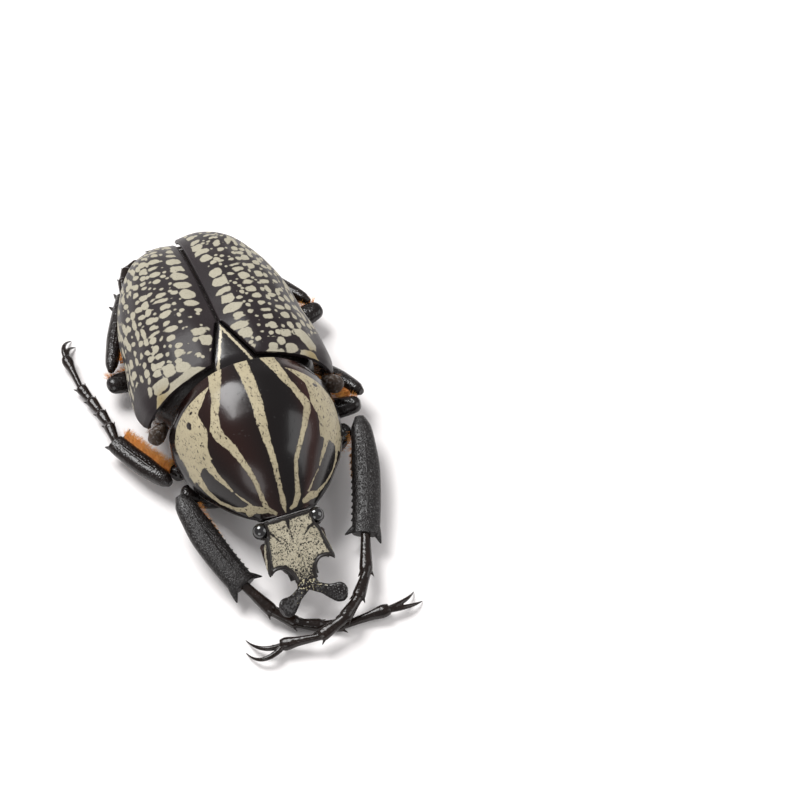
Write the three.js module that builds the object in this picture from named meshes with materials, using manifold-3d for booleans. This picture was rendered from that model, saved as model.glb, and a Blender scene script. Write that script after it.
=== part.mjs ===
// A male goliath beetle, dried, lying on its belly with its forelegs stretched past the horn.
// Millimetres, +Z up. The head points to -Y, the beetle's left side is +X, and the origin is the
// middle of the flat of the belly, which lies on the ground.
import * as THREE from "three";
import { mergeVertices } from "three/addons/utils/BufferGeometryUtils.js";
import Module from "manifold-3d";

const wasm = await Module();
wasm.setup();

// Driving dimensions.
const LENGTH = 67; // from the tips of the horn to the end of the wing cases
const DRAWN_LENGTH = 69.3; // the same on the drawing that the stations below are read from
const SEAM = 0.31; // air between two plates that touch
const ELYTRON_THICKNESS = 0.8;
const SCUTELLUM = { base: -2.3, tip: 6.4, halfWidth: 3.4, thickness: 1.1 };
const ELYTRON_BASE = { inner: -1.2, outer: -3.4, humerus: 13.6 };
const LEFT_LIFT = 1.2; // the left wing case gapes a little: its tip stands higher
const PRONOTUM_SHIFT = 0.5; // the pronotum has dried a little to the beetle's left
const HEAD = { rear: -25.6, rearHeight: 9.7, slope: THREE.MathUtils.degToRad(27) };
const EYE_RADIUS = 1.25;

// Stations [y, value] along the body, from the head end to the rear.
// The pronotum: half width, ridge, side edge and underside.
const PRONOTUM = {
  halfWidth: [[-23.8, 4.4], [-22.4, 5.9], [-20.5, 7.6], [-18.5, 9.1], [-16.5, 10.5], [-13, 12], [-9, 12.7], [-6.5, 12.5],
    [-4.6, 11.5]],
  top: [[-23.8, 9.6], [-21, 13.4], [-17, 16.6], [-12, 18.5], [-8, 18.9], [-4.6, 18]],
  edge: [[-23.8, 8], [-20, 6.9], [-14, 6.4], [-8, 6.8], [-4.6, 8.2]],
  bottom: [[-23.8, 5.8], [-20, 4.6], [-14, 4.1], [-8, 4], [-4.6, 4.4]],
  bulge: [[-23.8, -1], [-14, 0], [-4.6, 1.6]],
  tuck: [[-23.8, 2.6], [-17, 0.6], [-12, 0], [-4.6, 0]],
};
// The wing cases together: half width, disc height and side edge.
const ELYTRA = {
  halfWidth: [[-3.6, 14.1], [-2.4, 14.9], [0, 15.3], [4, 15.1], [9, 14.3], [14, 13.8], [19, 12.6],
    [24, 10.6], [27.5, 8.4], [29.6, 5.7], [30.6, 3.2], [30.9, 1.4]],
  top: [[-3.6, 16.2], [0, 17.3], [5, 17.2], [10, 16.1], [15, 14.7], [20, 12.9], [25, 10.5], [28, 8.5], [30, 6.4], [30.9, 5.1]],
  edge: [[-3.6, 8.2], [0, 7.2], [6, 6.6], [15, 6.1], [25, 5.2], [30.9, 4.4]],
};
// Swellings of a wing case: its shoulder and the boss near its end, as x, y, reach across and along, height.
const BOSSES = [[11.4, 0.6, 1.7, 2.4, 0.55], [6.6, 25.6, 2.1, 2.2, 0.6]];
// Under the wing cases: the hind thorax, which carries the belly flat, then the abdomen.
const THORAX = {
  halfWidth: [[-3.8, 10.4], [0, 12.6], [6, 12.9], [12.4, 12]],
  bottom: [[-3.8, 2.2], [-2.8, 0.8], [-1.6, -0.1], [0, -0.8], [2, -0.9], [4.6, -0.6], [6.2, 0.7], [7.4, 2.4], [8.5, 3.2],
    [12.4, 3.4]],
  edge: [[-3.8, 6.8], [12.4, 5.6]],
  bulge: [[-3.8, 1.55], [3, 0], [12.4, 0]],
};
const ABDOMEN = {
  halfWidth: [[12.7, 12.1], [17, 11.3], [21, 9.7], [25, 7.4], [27.6, 5.8]],
  bottom: [[12.7, 3.1], [15, 1.9], [19, 1.5], [23, 2.1], [27.6, 3.4]],
  edge: [[12.7, 5.5], [20, 5.2], [27.6, 5]],
};

// A smooth function through stations, which never overshoots them.
function profile(stations) {
  const n = stations.length;
  const slope = (i) => (stations[i + 1][1] - stations[i][1]) / (stations[i + 1][0] - stations[i][0]);
  const tangent = stations.map((_, i) => {
    if (i === 0) return slope(0);
    if (i === n - 1) return slope(n - 2);
    const before = slope(i - 1);
    const after = slope(i);
    return before * after <= 0 ? 0 : (2 * before * after) / (before + after);
  });
  return (y) => {
    const at = THREE.MathUtils.clamp(y, stations[0][0], stations[n - 1][0]);
    let i = 0;
    while (i < n - 2 && at > stations[i + 1][0]) i++;
    const [y0, v0] = stations[i];
    const [y1, v1] = stations[i + 1];
    const h = y1 - y0;
    const t = (at - y0) / h;
    const t2 = t * t;
    const t3 = t2 * t;
    return (2 * t3 - 3 * t2 + 1) * v0 + (t3 - 2 * t2 + t) * h * tangent[i]
      + (3 * t2 - 2 * t3) * v1 + (t3 - t2) * h * tangent[i + 1];
  };
}
const profiles = (table) => Object.fromEntries(Object.entries(table).map(([k, s]) => [k, profile(s)]));
const pronotum = profiles(PRONOTUM);
const elytra = profiles(ELYTRA);
const thorax = profiles(THORAX);
const abdomen = profiles(ABDOMEN);

const V = (x, y, z) => new THREE.Vector3(x, y, z);
const vector = (p) => V(...p);
const range = (n) => Array.from({ length: n }, (_, i) => i);

// Turns an indexed triangle list into a geometry whose faces point out, lying on or over the ground.
function geometryOf(points, triangles) {
  const p = points.map((q) => V(q.x, q.y, Math.max(q.z, 0)));
  const volume = triangles.reduce((sum, [a, b, c]) => sum + p[a].dot(V(0, 0, 0).crossVectors(p[b], p[c])), 0);
  const faces = volume < 0 ? triangles.map(([a, b, c]) => [a, c, b]) : triangles;
  const geometry = new THREE.BufferGeometry();
  geometry.setAttribute("position", new THREE.Float32BufferAttribute(p.flatMap((q) => q.toArray()), 3));
  geometry.setIndex(faces.flat());
  return geometry;
}

// A closed body through rings of points, one after another, capped at both ends.
function loft(rings) {
  const sides = rings[0].length;
  const points = rings.flat();
  const triangles = [];
  for (const r of range(rings.length - 1)) {
    for (const k of range(sides)) {
      const a = r * sides + k;
      const b = r * sides + ((k + 1) % sides);
      triangles.push([a, b, b + sides], [a, b + sides, a + sides]);
    }
  }
  for (const [ring, first, flip] of [[rings[0], 0, true], [rings.at(-1), (rings.length - 1) * sides, false]]) {
    const centre = points.length;
    points.push(ring.reduce((sum, q) => sum.add(q), V(0, 0, 0)).divideScalar(sides));
    for (const k of range(sides)) {
      const pair = [first + k, first + ((k + 1) % sides)];
      triangles.push(flip ? [pair[1], pair[0], centre] : [pair[0], pair[1], centre]);
    }
  }
  return geometryOf(points, triangles);
}

// A limb or spine through stations [x, y, z, half width, half depth]; the width lies along `wide`.
function limb(stations, wide, sides) {
  const at = stations.map((s) => V(s[0], s[1], s[2]));
  return loft(stations.map((s, i) => {
    const along = at[Math.min(i + 1, at.length - 1)].clone().sub(at[Math.max(i - 1, 0)]).normalize();
    const across = wide.clone().addScaledVector(along, -wide.dot(along)).normalize();
    const deep = V(0, 0, 0).crossVectors(along, across);
    return range(sides).map((k) => {
      const turn = (k / sides) * 2 * Math.PI;
      return at[i].clone().addScaledVector(across, s[3] * Math.cos(turn)).addScaledVector(deep, s[4] * Math.sin(turn));
    });
  }));
}

// A straight pointed spine from its sunk root to its tip.
function spine(root, tip, radius, sides = 5) {
  const end = 0.08;
  return limb([[...root, radius, radius], [...tip, end, end]], Math.abs(tip[2] - root[2]) > 1 ? V(1, 0, 0) : V(0, 0, 1), sides);
}

// Joins closed geometries into one closed body, and takes away what `hollows` fill.
function solidOf(geometry) {
  const bare = geometry.clone();
  for (const name of ["normal", "uv"]) bare.deleteAttribute(name);
  const merged = mergeVertices(bare, 1e-4);
  return new wasm.Manifold(new wasm.Mesh({
    numProp: 3,
    vertProperties: merged.attributes.position.array,
    triVerts: new Uint32Array(merged.index.array),
  }));
}
function fuse(geometries, hollows = []) {
  const joined = geometries.map(solidOf).reduce((a, b) => a.add(b));
  const cut = hollows.map(solidOf).reduce((a, b) => a.subtract(b), joined);
  const whole = cut.decompose().sort((a, b) => b.volume() - a.volume())[0];
  const mesh = whole.getMesh();
  const geometry = new THREE.BufferGeometry();
  geometry.setAttribute("position", new THREE.Float32BufferAttribute(mesh.vertProperties, 3));
  geometry.setIndex(new THREE.BufferAttribute(mesh.triVerts, 1));
  return geometry;
}

const beetle = new THREE.Group();
const shiny = { roughness: 0.3, metalness: 0 };
const MATERIALS = {
  pronotum: new THREE.MeshStandardMaterial({ color: 0x21130f, ...shiny }),
  elytron: new THREE.MeshStandardMaterial({ color: 0x7d7766, roughness: 0.5 }),
  cream: new THREE.MeshStandardMaterial({ color: 0xbdb394, roughness: 0.6 }),
  black: new THREE.MeshStandardMaterial({ color: 0x1c1a19, roughness: 0.4 }),
  eye: new THREE.MeshStandardMaterial({ color: 0x0c0b0b, roughness: 0.12 }),
};
function add(name, geometry, material) {
  geometry.scale(LENGTH / DRAWN_LENGTH, LENGTH / DRAWN_LENGTH, LENGTH / DRAWN_LENGTH);
  const mesh = new THREE.Mesh(geometry, MATERIALS[material]);
  mesh.name = name;
  beetle.add(mesh);
}

// Half of a body section, from one side edge over the top or under the belly to the other.
function arch(y, halfWidth, edge, crown, steps, power, bulge) {
  return range(steps).map((k) => {
    const turn = (Math.PI * k) / steps;
    const x = Math.cos(turn);
    const lift = Math.pow(Math.max(1 - Math.pow(Math.abs(x), power[0]), 0), 1 / power[1]);
    return V(x * halfWidth, y + bulge * (1 - x * x), edge + (crown - edge) * lift);
  });
}
function bodyRing(y, top, bottom, steps, bulge = 0, tuck = 0) {
  const upper = arch(y, top.halfWidth, top.edge, top.crown, steps, top.power, bulge);
  const lower = arch(y, top.halfWidth, top.edge, bottom, steps, [2, 1.5], bulge + tuck).map((p) => V(-p.x, p.y, p.z));
  return [...upper, ...lower];
}

// The pronotum is one domed plate round the fore body, narrow in front and bowed out behind.
const PRONOTUM_ROWS = [-23.8, -22.8, -21.4, -19.7, -17.6, -15.2, -12.6, -10.2, -8.2, -6.4, -4.6];
function pronotumRing(y) {
  const top = { halfWidth: pronotum.halfWidth(y), edge: pronotum.edge(y), crown: pronotum.top(y), power: [2.3, 1.9] };
  const ring = bodyRing(y, top, pronotum.bottom(y), 14, pronotum.bulge(y), pronotum.tuck(y));
  return ring.map((p) => V(p.x + PRONOTUM_SHIFT, p.y, p.z));
}
add("pronotum", loft(PRONOTUM_ROWS.map(pronotumRing)), "pronotum");

// Height of the outer face of the wing cases at x, y: domed, steep at the side, sunk at the suture.
function elytraHeight(x, y) {
  const across = Math.min(Math.abs(x) / elytra.halfWidth(y), 1);
  const dome = Math.sqrt(Math.max(1 - Math.pow(across, 2.5), 0));
  const suture = 0.9 * Math.exp(-Math.pow(x / 2.4, 2));
  const boss = BOSSES.reduce((sum, [bx, by, rx, ry, height]) => {
    return sum + height * Math.exp(-Math.pow((Math.abs(x) - bx) / rx, 2) - Math.pow((y - by) / ry, 2));
  }, 0);
  return elytra.edge(y) + (elytra.top(y) - elytra.edge(y)) * dome + (boss - suture) * dome;
}
// Where a wing case starts at y, on its slanting base, beside the scutellum or at the suture.
function elytronInner(y) {
  const { inner, outer, humerus } = ELYTRON_BASE;
  const beside = SCUTELLUM.halfWidth * (1 - (y - SCUTELLUM.base) / (SCUTELLUM.tip - SCUTELLUM.base));
  const suture = Math.max(beside, 0) + SEAM / 2 + (beside > 0 ? SEAM : 0);
  if (y > inner) return suture;
  return THREE.MathUtils.mapLinear(y, inner, outer, suture, humerus);
}
const ELYTRON_ROWS = [-3.4, -2.7, -1.9, -1, 0.1, 1.4, 2.8, 4.6, 6.5, 9, 12, 15, 18, 20.6, 22.8, 24.6, 26.2, 27.6, 28.8, 29.8,
  30.5, 30.9];
const ELYTRON_COLUMNS = 11;
function elytronPoint(side, y, u) {
  const start = elytronInner(y);
  const x = start + (elytra.halfWidth(y) - start) * Math.sin((u * Math.PI) / 2);
  const lift = side > 0 ? LEFT_LIFT * Math.pow(Math.max(y, 0) / 30, 2) : 0;
  return V(side * x, y, elytraHeight(x, y) + lift);
}
function elytron(side) {
  const rows = ELYTRON_ROWS.length;
  const columns = ELYTRON_COLUMNS;
  const outer = ELYTRON_ROWS.map((y) => range(columns).map((k) => elytronPoint(side, y, k / (columns - 1))));
  const inner = outer.map((row, r) => row.map((p, k) => {
    const before = outer[Math.max(r - 1, 0)][k];
    const after = outer[Math.min(r + 1, rows - 1)][k];
    const left = row[Math.max(k - 1, 0)];
    const right = row[Math.min(k + 1, columns - 1)];
    const normal = V(0, 0, 0).crossVectors(after.clone().sub(before), right.clone().sub(left)).normalize();
    if (normal.z < 0) normal.negate();
    // At the suture and the base the two faces are cut square.
    if (k === 0) normal.set(0, 0, 1);
    if (k === columns - 1) normal.set(side * 0.98, 0, 0.2);
    return p.clone().addScaledVector(normal, -ELYTRON_THICKNESS);
  }));
  const points = [...outer.flat(), ...inner.flat()];
  const lower = rows * columns;
  const triangles = [];
  const quad = (a, b, c, d) => triangles.push([a, b, c], [a, c, d]);
  for (const r of range(rows - 1)) {
    for (const k of range(columns - 1)) {
      const a = r * columns + k;
      quad(a, a + 1, a + columns + 1, a + columns);
      quad(lower + a, lower + a + columns, lower + a + columns + 1, lower + a + 1);
    }
    for (const [k, flip] of [[0, false], [columns - 1, true]]) {
      const a = r * columns + k;
      const strip = [a, a + columns, lower + a + columns, lower + a];
      quad(...(flip ? strip.reverse() : strip));
    }
  }
  for (const k of range(columns - 1)) {
    quad(k + 1, k, lower + k, lower + k + 1);
    const a = (rows - 1) * columns + k;
    quad(a, a + 1, lower + a + 1, lower + a);
  }
  return geometryOf(points, triangles);
}
add("elytron_left", elytron(1), "elytron");
add("elytron_right", elytron(-1), "elytron");

// The scutellum is the long triangle between the bases of the wing cases.
function scutellum() {
  const { base, tip, halfWidth, thickness } = SCUTELLUM;
  return loft([0, 0.3, 0.6, 0.85, 0.97].map((t) => {
    const y = base + (tip - base) * t;
    const w = halfWidth * (1 - t);
    const z = elytraHeight(3, y) - 0.3;
    return [V(-w, y, z - 0.2), V(0, y, z), V(w, y, z - 0.2), V(w * 0.8, y, z - thickness), V(-w * 0.8, y, z - thickness)];
  }));
}
add("scutellum", scutellum(), "black");

// The hind thorax lies under the wing cases; the ground flattens its belly.
function underElytra(y, table, drop) {
  return {
    halfWidth: table.halfWidth(y),
    edge: table.edge(y),
    crown: Math.min(elytra.top(y) - drop, elytraHeight(0, y) - drop + 0.6),
    power: [2.5, 2],
  };
}
const THORAX_ROWS = [-3.8, -2.8, -1.6, -0.4, 1, 3, 4.6, 6.2, 7.4, 8.5, 10.4, 12.4];
add("thorax", loft(THORAX_ROWS.map((y) => {
  return bodyRing(y, underElytra(y, thorax, 1.75), thorax.bottom(y), 12, thorax.bulge(y));
})), "black");

// The abdomen: five belly segments, each stepping in behind the one before.
const SEGMENT_STEP = 0.22;
const SEGMENT_ENDS = [12.7, 16, 19.2, 22.2, 25, 27.6];
const abdomenRing = (y, shrink) => {
  const top = underElytra(y, abdomen, 1.75);
  top.halfWidth -= shrink;
  return bodyRing(y, top, abdomen.bottom(y) + shrink, 12);
};
add("abdomen", loft(SEGMENT_ENDS.slice(0, -1).flatMap((start, i) => {
  const end = SEGMENT_ENDS[i + 1];
  return [abdomenRing(start + 0.05, SEGMENT_STEP), abdomenRing(end - 0.5, 0), abdomenRing(end, SEGMENT_STEP)];
}).filter((_, i) => i % 3 !== 0 || i === 0)), "black");

// The pygidium is the steep tail plate under the tips of the wing cases.
const PYGIDIUM = { halfWidth: 5.2, top: 5.3, bottom: 2.4, y: 28, depth: 1.8 };
add("pygidium", loft([0, 0.3, 0.6, 0.85, 1].map((t) => {
  const { halfWidth, top, bottom, y, depth } = PYGIDIUM;
  const shrink = 1 - 0.75 * t * t;
  return range(12).map((k) => {
    const turn = (k / 12) * 2 * Math.PI;
    const middle = (top + bottom) / 2 - 0.2 * t;
    return V(halfWidth * shrink * Math.cos(turn), y + depth * t, middle + ((top - bottom) / 2) * shrink * Math.sin(turn));
  });
})), "cream");

// The shiny side plate between the pronotum and the shoulder of the wing case.
for (const [name, side] of [["side_plate_left", 1], ["side_plate_right", -1]]) {
  const shift = side > 0 ? PRONOTUM_SHIFT : PRONOTUM_SHIFT / 2;
  add(name, limb([
    [side * 11.95 + shift, -3.8, 8.6, 0.5, 1.0],
    [side * 13.4 + shift, -4.7, 8.4, 1.0, 1.7],
    [side * 14.3 + shift, -5.1, 8.0, 0.9, 1.5],
    [side * 15.0 + shift, -5.0, 7.7, 0.3, 0.5],
  ], V(0, 1, 0), 10), "black");
}

// The head slopes down from the pronotum. Its own frame: x across, v forwards, w up.
function headPoint(x, v, w) {
  const c = Math.cos(HEAD.slope);
  const s = Math.sin(HEAD.slope);
  return V(x, HEAD.rear - v * c - w * s, HEAD.rearHeight - v * s + w * c);
}
// Rings across the head: [v, half width, top, underside].
const CRANIUM = [[-0.35, 3.7, -0.1, -3.6], [0.8, 3.7, 0, -4], [2.4, 3.5, 0.1, -4.2], [4.6, 3.3, 0, -3.8], [6.1, 3, -0.1, -2.6],
  [6.8, 2.4, -0.2, -1.6]];
const cranium = loft(CRANIUM.map(([v, halfWidth, top, under]) => range(14).map((k) => {
  const turn = (k / 14) * 2 * Math.PI;
  const side = Math.sign(Math.cos(turn)) * Math.pow(Math.abs(Math.cos(turn)), 0.6);
  const rise = Math.sign(Math.sin(turn)) * Math.pow(Math.abs(Math.sin(turn)), 0.7);
  const middle = (top + under) / 2;
  return headPoint(side * halfWidth, v, middle + ((top - under) / 2) * rise);
})));
// The clypeus is a flat plate: side edges, a tooth, then the round bay between tooth and horn.
const CLYPEUS_EDGE = [[3.6, 1.9], [4.1, 2.7], [4.2, 4.3], [4.6, 5.9], [4.85, 7.4], [4.2, 6.9], [3.4, 6.75], [2.65, 6.9],
  [2.05, 7.45], [1.65, 8.2], [1.5, 8.95]];
const CLYPEUS_THICKNESS = 1.1;
function clypeus() {
  const outline = [...CLYPEUS_EDGE, ...CLYPEUS_EDGE.map(([x, v]) => [-x, v]).reverse()];
  const shape = new THREE.Shape(outline.map(([x, v]) => new THREE.Vector2(-x, v)));
  const plate = new THREE.ExtrudeGeometry(shape, { depth: CLYPEUS_THICKNESS, bevelEnabled: false });
  // Taken into the head's own frame, which is the mirror image of the shape's.
  const position = plate.getAttribute("position");
  for (const i of range(position.count)) {
    position.setXYZ(i, ...headPoint(-position.getX(i), position.getY(i), position.getZ(i) - 1).toArray());
  }
  return plate;
}
const ball = (x, v, w, radius) => {
  const place = headPoint(x, v, w);
  return new THREE.SphereGeometry(radius, 14, 10).translate(place.x, place.y, place.z);
};
const EYE_PLACE = [4.2, 0.8, -1.15];
const sockets = [1, -1].map((side) => ball(side * EYE_PLACE[0], EYE_PLACE[1], EYE_PLACE[2], EYE_RADIUS + SEAM));
add("head", fuse([cranium, clypeus()], sockets), "cream");

// The horn: a short stem that forks into two flat, blunt prongs. Stations: x, v, w, half width.
const HORN = { start: CLYPEUS_EDGE.at(-1)[1] + SEAM, halfDepth: 0.55 };
const PRONG = [[0.7, 10.4, -0.45, 0.6], [1.3, 10.85, -0.4, 0.72], [2, 11.3, -0.2, 0.72], [2.9, 11.95, 0.2, 1.05],
  [3.9, 12.45, 0.6, 1.5], [4.6, 12.75, 0.85, 1.3], [5.05, 12.9, 1, 0.7]];
const STEM = [[0, HORN.start, -0.45, 1.5], [0, 9.9, -0.45, 1.5], [0, 10.5, -0.45, 1.5], [0, 10.85, -0.45, 0.9]];
const hornPart = (stations, side, sides) => limb(stations.map(([x, v, w, wide]) => {
  return [...headPoint(side * x, v, w).toArray(), wide, HORN.halfDepth];
}), headPoint(stations[0][1] === HORN.start ? 1 : 0, 1, 0).sub(headPoint(0, stations[0][1] === HORN.start ? 1 : 0, 0)), sides);
add("horn", fuse([hornPart(STEM, 1, 12), hornPart(PRONG, 1, 12), hornPart(PRONG, -1, 12)]), "black");

// Eyes, feelers and mouthparts.
for (const [word, side] of [["left", 1], ["right", -1]]) {
  add("eye_" + word, ball(side * EYE_PLACE[0], EYE_PLACE[1], EYE_PLACE[2], EYE_RADIUS), "eye");
  const joint = (x, v, w) => headPoint(side * x, v, w).toArray();
  add("antenna_" + word, fuse([
    limb([[...joint(3.9, 3, -2), 0.3, 0.4], [...joint(4.4, 3.1, -2), 0.62, 0.62], [...joint(4.9, 3.5, -2), 0.4, 0.4]], V(0, 0, 1), 8),
    limb([[...joint(4.6, 3.1, -2), 0.3, 0.4], [...joint(4.5, 4.1, -2.2), 0.6, 0.45], [...joint(4.4, 5.6, -2.5), 0.6, 0.45],
      [...joint(4.4, 6.4, -2.7), 0.3, 0.25]], V(0, 0, 1), 8),
  ]), "black");
}
add("mouthparts", limb([
  [...headPoint(0, 2, -5.25).toArray(), 2.2, 0.8],
  [...headPoint(0, 4.2, -5.1).toArray(), 2.4, 0.8],
  [...headPoint(0, 6.2, -4.1).toArray(), 2.0, 0.7],
  [...headPoint(0, 7.6, -2.9).toArray(), 1.2, 0.4],
], V(1, 0, 0), 10), "black");

// A thigh: the hip lobe that turns in the body, then a swollen middle and a narrower knee.
function femur(hip, middle, knee, size, lobe) {
  const [w, d] = size;
  const a = vector(hip);
  const b = vector(middle);
  const c = vector(knee);
  const at = (p, q, t) => p.clone().lerp(q, t).toArray();
  const thigh = limb([
    [...at(a, b, 0), w * 0.5, d * 0.66],
    [...at(a, b, 0.12), w * 0.66, d * 0.8],
    [...at(a, b, 0.35), w * 0.86, d * 0.94],
    [...at(a, b, 0.75), w, d],
    [...at(b, c, 0.2), w, d],
    [...at(b, c, 0.65), w * 0.88, d * 0.95],
    [...at(b, c, 0.88), w * 0.74, d * 0.85],
    [...at(b, c, 0.97), w * 0.52, d * 0.62],
    [...at(b, c, 1), w * 0.3, d * 0.36],
  ], V(0, 1, 0), 14);
  const [x, y, z, rx, ry, rz] = lobe;
  return fuse([thigh, new THREE.SphereGeometry(1, 14, 10).scale(rx, ry, rz).translate(x, y, z)]);
}

// A shin: narrow knee, broad flat blade, and spines at the far end.
function tibia(knee, apex, blade, bow, spines) {
  const a = vector(knee);
  const b = vector(apex);
  const along = b.clone().sub(a);
  const across = V(-along.y, along.x, 0).normalize();
  const steps = [[0, 0.45, 0.6], [0.06, 0.7, 0.85], [0.2, 0.84, 1], [0.45, 1, 1], [0.7, 0.98, 0.95], [0.9, 0.96, 0.9], [1, 0.9, 0.8]];
  const stations = steps.map(([t, wide, deep]) => {
    const p = a.clone().lerp(b, t).addScaledVector(across, bow * 4 * t * (1 - t));
    return [...p.toArray(), blade[0] * wide, blade[1] * deep];
  });
  const unit = along.clone().normalize();
  // Each spine: place along the shin, side offset of its root, and its tip (forwards, sideways, up).
  const prongs = spines.map(([t, offset, forward, sideways, up, radius]) => {
    const root = a.clone().lerp(b, t).addScaledVector(across, offset + bow * 4 * t * (1 - t));
    const tip = root.clone().addScaledVector(unit, forward).addScaledVector(across, sideways).add(V(0, 0, up));
    return spine(root.toArray(), tip.toArray(), radius);
  });
  return fuse([limb(stations, across, 12), ...prongs]);
}

// A foot: five joints that widen to a spiny end, then two hooked claws.
function tarsus(shin, joints, radius, claws, clawRoot = 0.42) {
  const pieces = [];
  const apex = vector(shin[1]);
  const down = apex.clone().sub(vector(shin[0])).normalize();
  const turned = vector(joints[0]).sub(apex).normalize().cross(down).length();
  const at = [apex.addScaledVector(down, SEAM * 1.2 + radius * 0.4 * turned), ...joints.map(vector)];
  for (const i of range(5)) {
    const a = at[i].clone();
    const b = at[i + 1];
    const along = b.clone().sub(a).normalize();
    const across = V(-along.y, along.x, 0).normalize();
    const last = i === 4;
    const thin = radius * (last ? 0.5 : 0.62);
    const start = i === 0 ? a : a.clone().addScaledVector(along, -radius * 0.5);
    pieces.push(limb([
      [...start.toArray(), thin, thin],
      [...start.clone().lerp(b, 0.45).toArray(), radius * (last ? 0.62 : 0.82), radius * (last ? 0.62 : 0.82)],
      [...start.clone().lerp(b, 0.86).toArray(), radius, radius * 0.95],
      [...b.toArray(), radius * 0.82, radius * 0.8],
    ], across, 8));
    for (const turn of last ? [] : [1, -1]) {
      const root = b.clone().addScaledVector(along, -radius * 0.9).addScaledVector(across, turn * radius * 0.5);
      const tip = b.clone().addScaledVector(along, radius * 0.5).addScaledVector(across, turn * radius * 1.3);
      pieces.push(spine(root.toArray(), tip.add(V(0, 0, -radius * 0.2)).toArray(), radius * 0.36, 4));
    }
  }
  const end = at[5];
  const along = end.clone().sub(at[4]).normalize();
  for (const [bend, tip] of claws) {
    const curve = new THREE.QuadraticBezierCurve3(end.clone().addScaledVector(along, -radius * 0.8), vector(bend), vector(tip));
    const taper = [1, 0.95, 0.8, 0.55, 0.15];
    pieces.push(limb(taper.map((t, i) => [...curve.getPoint(i / 4).toArray(), clawRoot * t, clawRoot * t * 1.1]), V(0, 0, 1), 6));
  }
  return fuse(pieces);
}

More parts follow.
